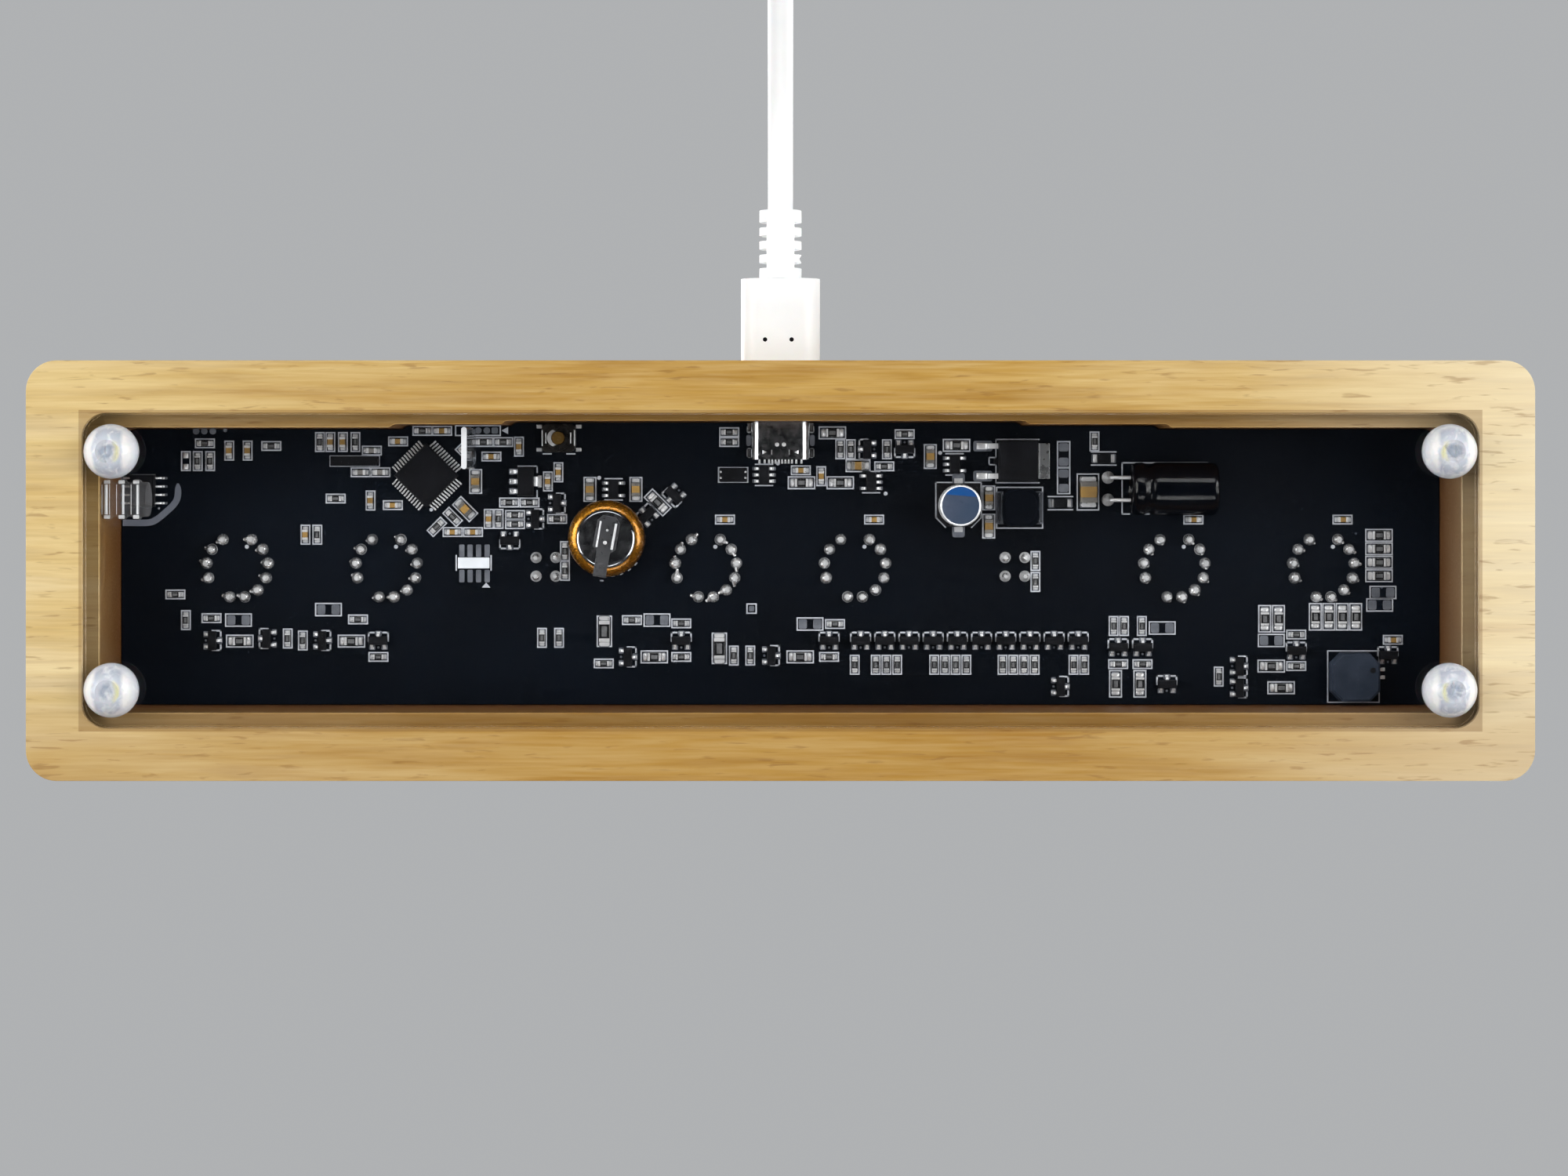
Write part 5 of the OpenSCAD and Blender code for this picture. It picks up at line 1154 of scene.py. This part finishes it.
# Places a piece by its distance from the port's inner end
port = under(0, port_low.y)
details, slots = Shape(), Shape()
dimple = [(0.33, PORT_TOP - 0.02), (0.3, PORT_TOP + 0.02), (0.2, PORT_TOP + 0.07), (0.08, PORT_TOP + 0.09)]
for side in SIDES:
    details.add(lathe(dimple, 20, (side * 0.52, 2.25)), port)
    wedge = [(side * 2.05, 1.1), (side * 2.75, 1.45), (side * 2.75, 0.75)]
    details.add(drum([[(x, y, PORT_TOP - 0.02) for x, y in wedge],
                      [((x + side * 2.4) / 2, (y + 1.1) / 2, PORT_TOP + 0.08) for x, y in wedge]]), port)
    details.add(slab(0.1, 0.75, 0.03, (side * 1.33, 1.1, PORT_TOP - 0.01)), port)
    slots.add(slab(0.42, 0.6, 0.012, (side * 1.66, 1.1, PORT_TOP)), port)
    for x in (0.25, 0.75, 1.25, 1.75, 2.4, 3.2):
        gull_leg(port, side * x, 0.1, (0, -1), 0.62, 0.26, 0.3)
    for y, reach in ((1.0, 1.5), (4.6, 1.2)):
        solder.add(prism(rounded(0.75, reach, 0.35, 5, (side * 4.75, y)), 0.0, 0.3, 0.12), port)
    pads.add(prism(rounded(0.7, 1.7, 0.3, 5, (side * 4.85, 2.9)), 0.0, PAD_HEIGHT), port)
make("port_dimples", details, TIN, smooth=30)
make("port_slots", slots, BLACK_PLASTIC, smooth=0)
paint("plug_shell", SHELL)
softened("plug_grip", "grip", CABLE, 0.35, 3, "usb_cable")
softened("wall_plug_grip", "far_grip", CABLE, 0.6, 3, "usb_cable")
paint("wall_plug_shell", SHELL)
dots = Shape()
for x in (2.33, -1.68):
    dots.add(lathe([(0.33, PORT_Z - 3.27), (0.33, PORT_Z - 3.2)], 24, (x, 34.45)))
make("grip_dots", dots, BLACK_PLASTIC, "usb_cable", smooth=0)

# ---- clear parts ----

paint("light_guide", CLEAR_RIBS)
low, high, (_, guide_y) = box("light_guide")
# Painted highlights: bright lines inside its ribs that stand in for the lamps' glints, and their whitish ends
RIB_R, RIB_W, RIB_PITCH, GUIDE_RUN = 3.05, 1.3, 2.15, 6.6
LINE_HALF, CAP_AT = 2.2, 2.58
line_z, cap_z = low.z + RIB_R - 1.8, low.z + RIB_R - 0.9
rib_highlights = Shape()
for i, (at, thick) in enumerate(((-0.05, 0.24), (-0.39, 0.13), (-0.35, 0.13))):
    rib_x = low.x + GUIDE_RUN - i * RIB_PITCH - RIB_W / 2
    for x, r in ((rib_x + at, thick), (rib_x - 0.56, 0.04), (rib_x + 0.56, 0.04)):
        rib_highlights.add(sweep([(x, guide_y - LINE_HALF, line_z), (x, guide_y + LINE_HALF, line_z)], r, 8))
    for y in (guide_y - CAP_AT, guide_y + CAP_AT):
        rib_highlights.add(sweep([(rib_x - 0.4, y, cap_z), (rib_x + 0.4, y, cap_z)], 0.28))
make("guide_shine", rib_highlights, FIN_EDGE, smooth=60)
low, high, middle = box("light_fin")
# The near end of the clear fin is a pale whitish cap, painted light on its lit end face
FIN_EDGE_H = 0.12
fin = rounded(high.x - low.x, high.y - low.y, 0.39, 6, middle)
make("fin", Shape((prism(fin, low.z + FIN_EDGE_H, high.z), None)), MOULDED_CLEAR, smooth=40,
     replaces=("light_fin",))
make("fin_edge", Shape((prism(fin, low.z, low.z + FIN_EDGE_H), None)), FIN_EDGE, smooth=40)

# ---- tubes and colon lamps ----

paint("tube_spacers", BASE_PLASTIC)
for n in range(1, 7):
    paint(f"tube_glass_{n}", GLASS)
    paint(f"tube_cathodes_{n}", CATHODE)
    paint(f"tube_anode_{n}", MESH_METAL)
    paint(f"tube_leads_{n}", LEAD)
for side in ("left", "right"):
    paint(f"colon_glass_{side}", GLASS)
    paint(f"colon_leads_{side}", LEAD)

make("ink_lines", ink, INK, smooth=0)
make("bare_pads", pads, PAD, smooth=40)
make("solder_fillets", solder, TIN, smooth=60)
make("chip_legs", legs, TIN, bevel=0.03, segments=1)

# ---- floor, backdrop light and lamps ----

FLOOR_HALF = 2.5
floor_mesh = bpy.data.meshes.new("floor")
floor_mesh.from_pydata([(sx * FLOOR_HALF, sy * FLOOR_HALF, 0) for sx, sy in CORNERS], [], [(0, 1, 2, 3)])
floor = placed("floor", floor_mesh)
pale = Look("pale_floor", 0.6)
pale.colour(pale.ramp(pale.noise(6, 2), (0.3, (214, 214, 213)), (0.7, (220, 220, 219))))
# From below the floor isn't there, and it stands in no lamp's way
behind = pale.node("ShaderNodeNewGeometry").outputs["Backfacing"]
pale.vanish(pale.maths("MAXIMUM", behind, pale.less(1.0, pale.path("Is Camera Ray"))))
floor_mesh.materials.append(pale.material)

world = bpy.data.worlds.new("studio")
world.use_nodes = True
# Pale overhead, dim below, so that the panel mirrors little
sky = world.node_tree.nodes
direction = sky.new("ShaderNodeTexCoord")
height = sky.new("ShaderNodeSeparateXYZ")
fade = sky.new("ShaderNodeValToRGB")
world.node_tree.links.new(direction.outputs["Generated"], height.inputs[0])
world.node_tree.links.new(height.outputs["Z"], fade.inputs["Fac"])
world.node_tree.links.new(fade.outputs["Color"], sky["Background"].inputs["Color"])
for stop, place, tone in zip(fade.color_ramp.elements, (0.0, 0.25), ((26, 27, 30), (206, 208, 210))):
    stop.position = place
    stop.color = linear(*tone)
sky["Background"].inputs["Strength"].default_value = 0.7
bpy.context.scene.world = world


def lamp(name, at, size, power, rise=0.02):
    """A soft lamp that is aimed at the clock's middle, at a height."""
    data = bpy.data.lights.new(name, "AREA")
    data.shape = "RECTANGLE"
    data.size, data.size_y = size
    data.energy = power
    obj = placed(name, data)
    obj.location = at
    obj.rotation_euler = (Vector((0, 0, rise)) - Vector(at)).to_track_quat("-Z", "Y").to_euler()


lamp("below_left", (0.62, 0.1, -0.36), (0.5, 0.5), 4)
lamp("below_right", (-0.62, 0.1, -0.36), (0.5, 0.5), 4.4)
lamp("below_front", (0.0, -0.34, -0.42), (0.5, 0.16), 0.9)
lamp("below_rear", (0.0, 0.36, -0.42), (0.5, 0.16), 1.1)
lamp("above_left", (-0.6, -0.7, 0.9), (0.7, 0.7), 16, 0.04)
lamp("above_right", (0.8, 0.3, 0.8), (0.7, 0.7), 8, 0.04)

scene = bpy.context.scene
scene.view_settings.view_transform = "Standard"
scene.view_settings.look = "None"
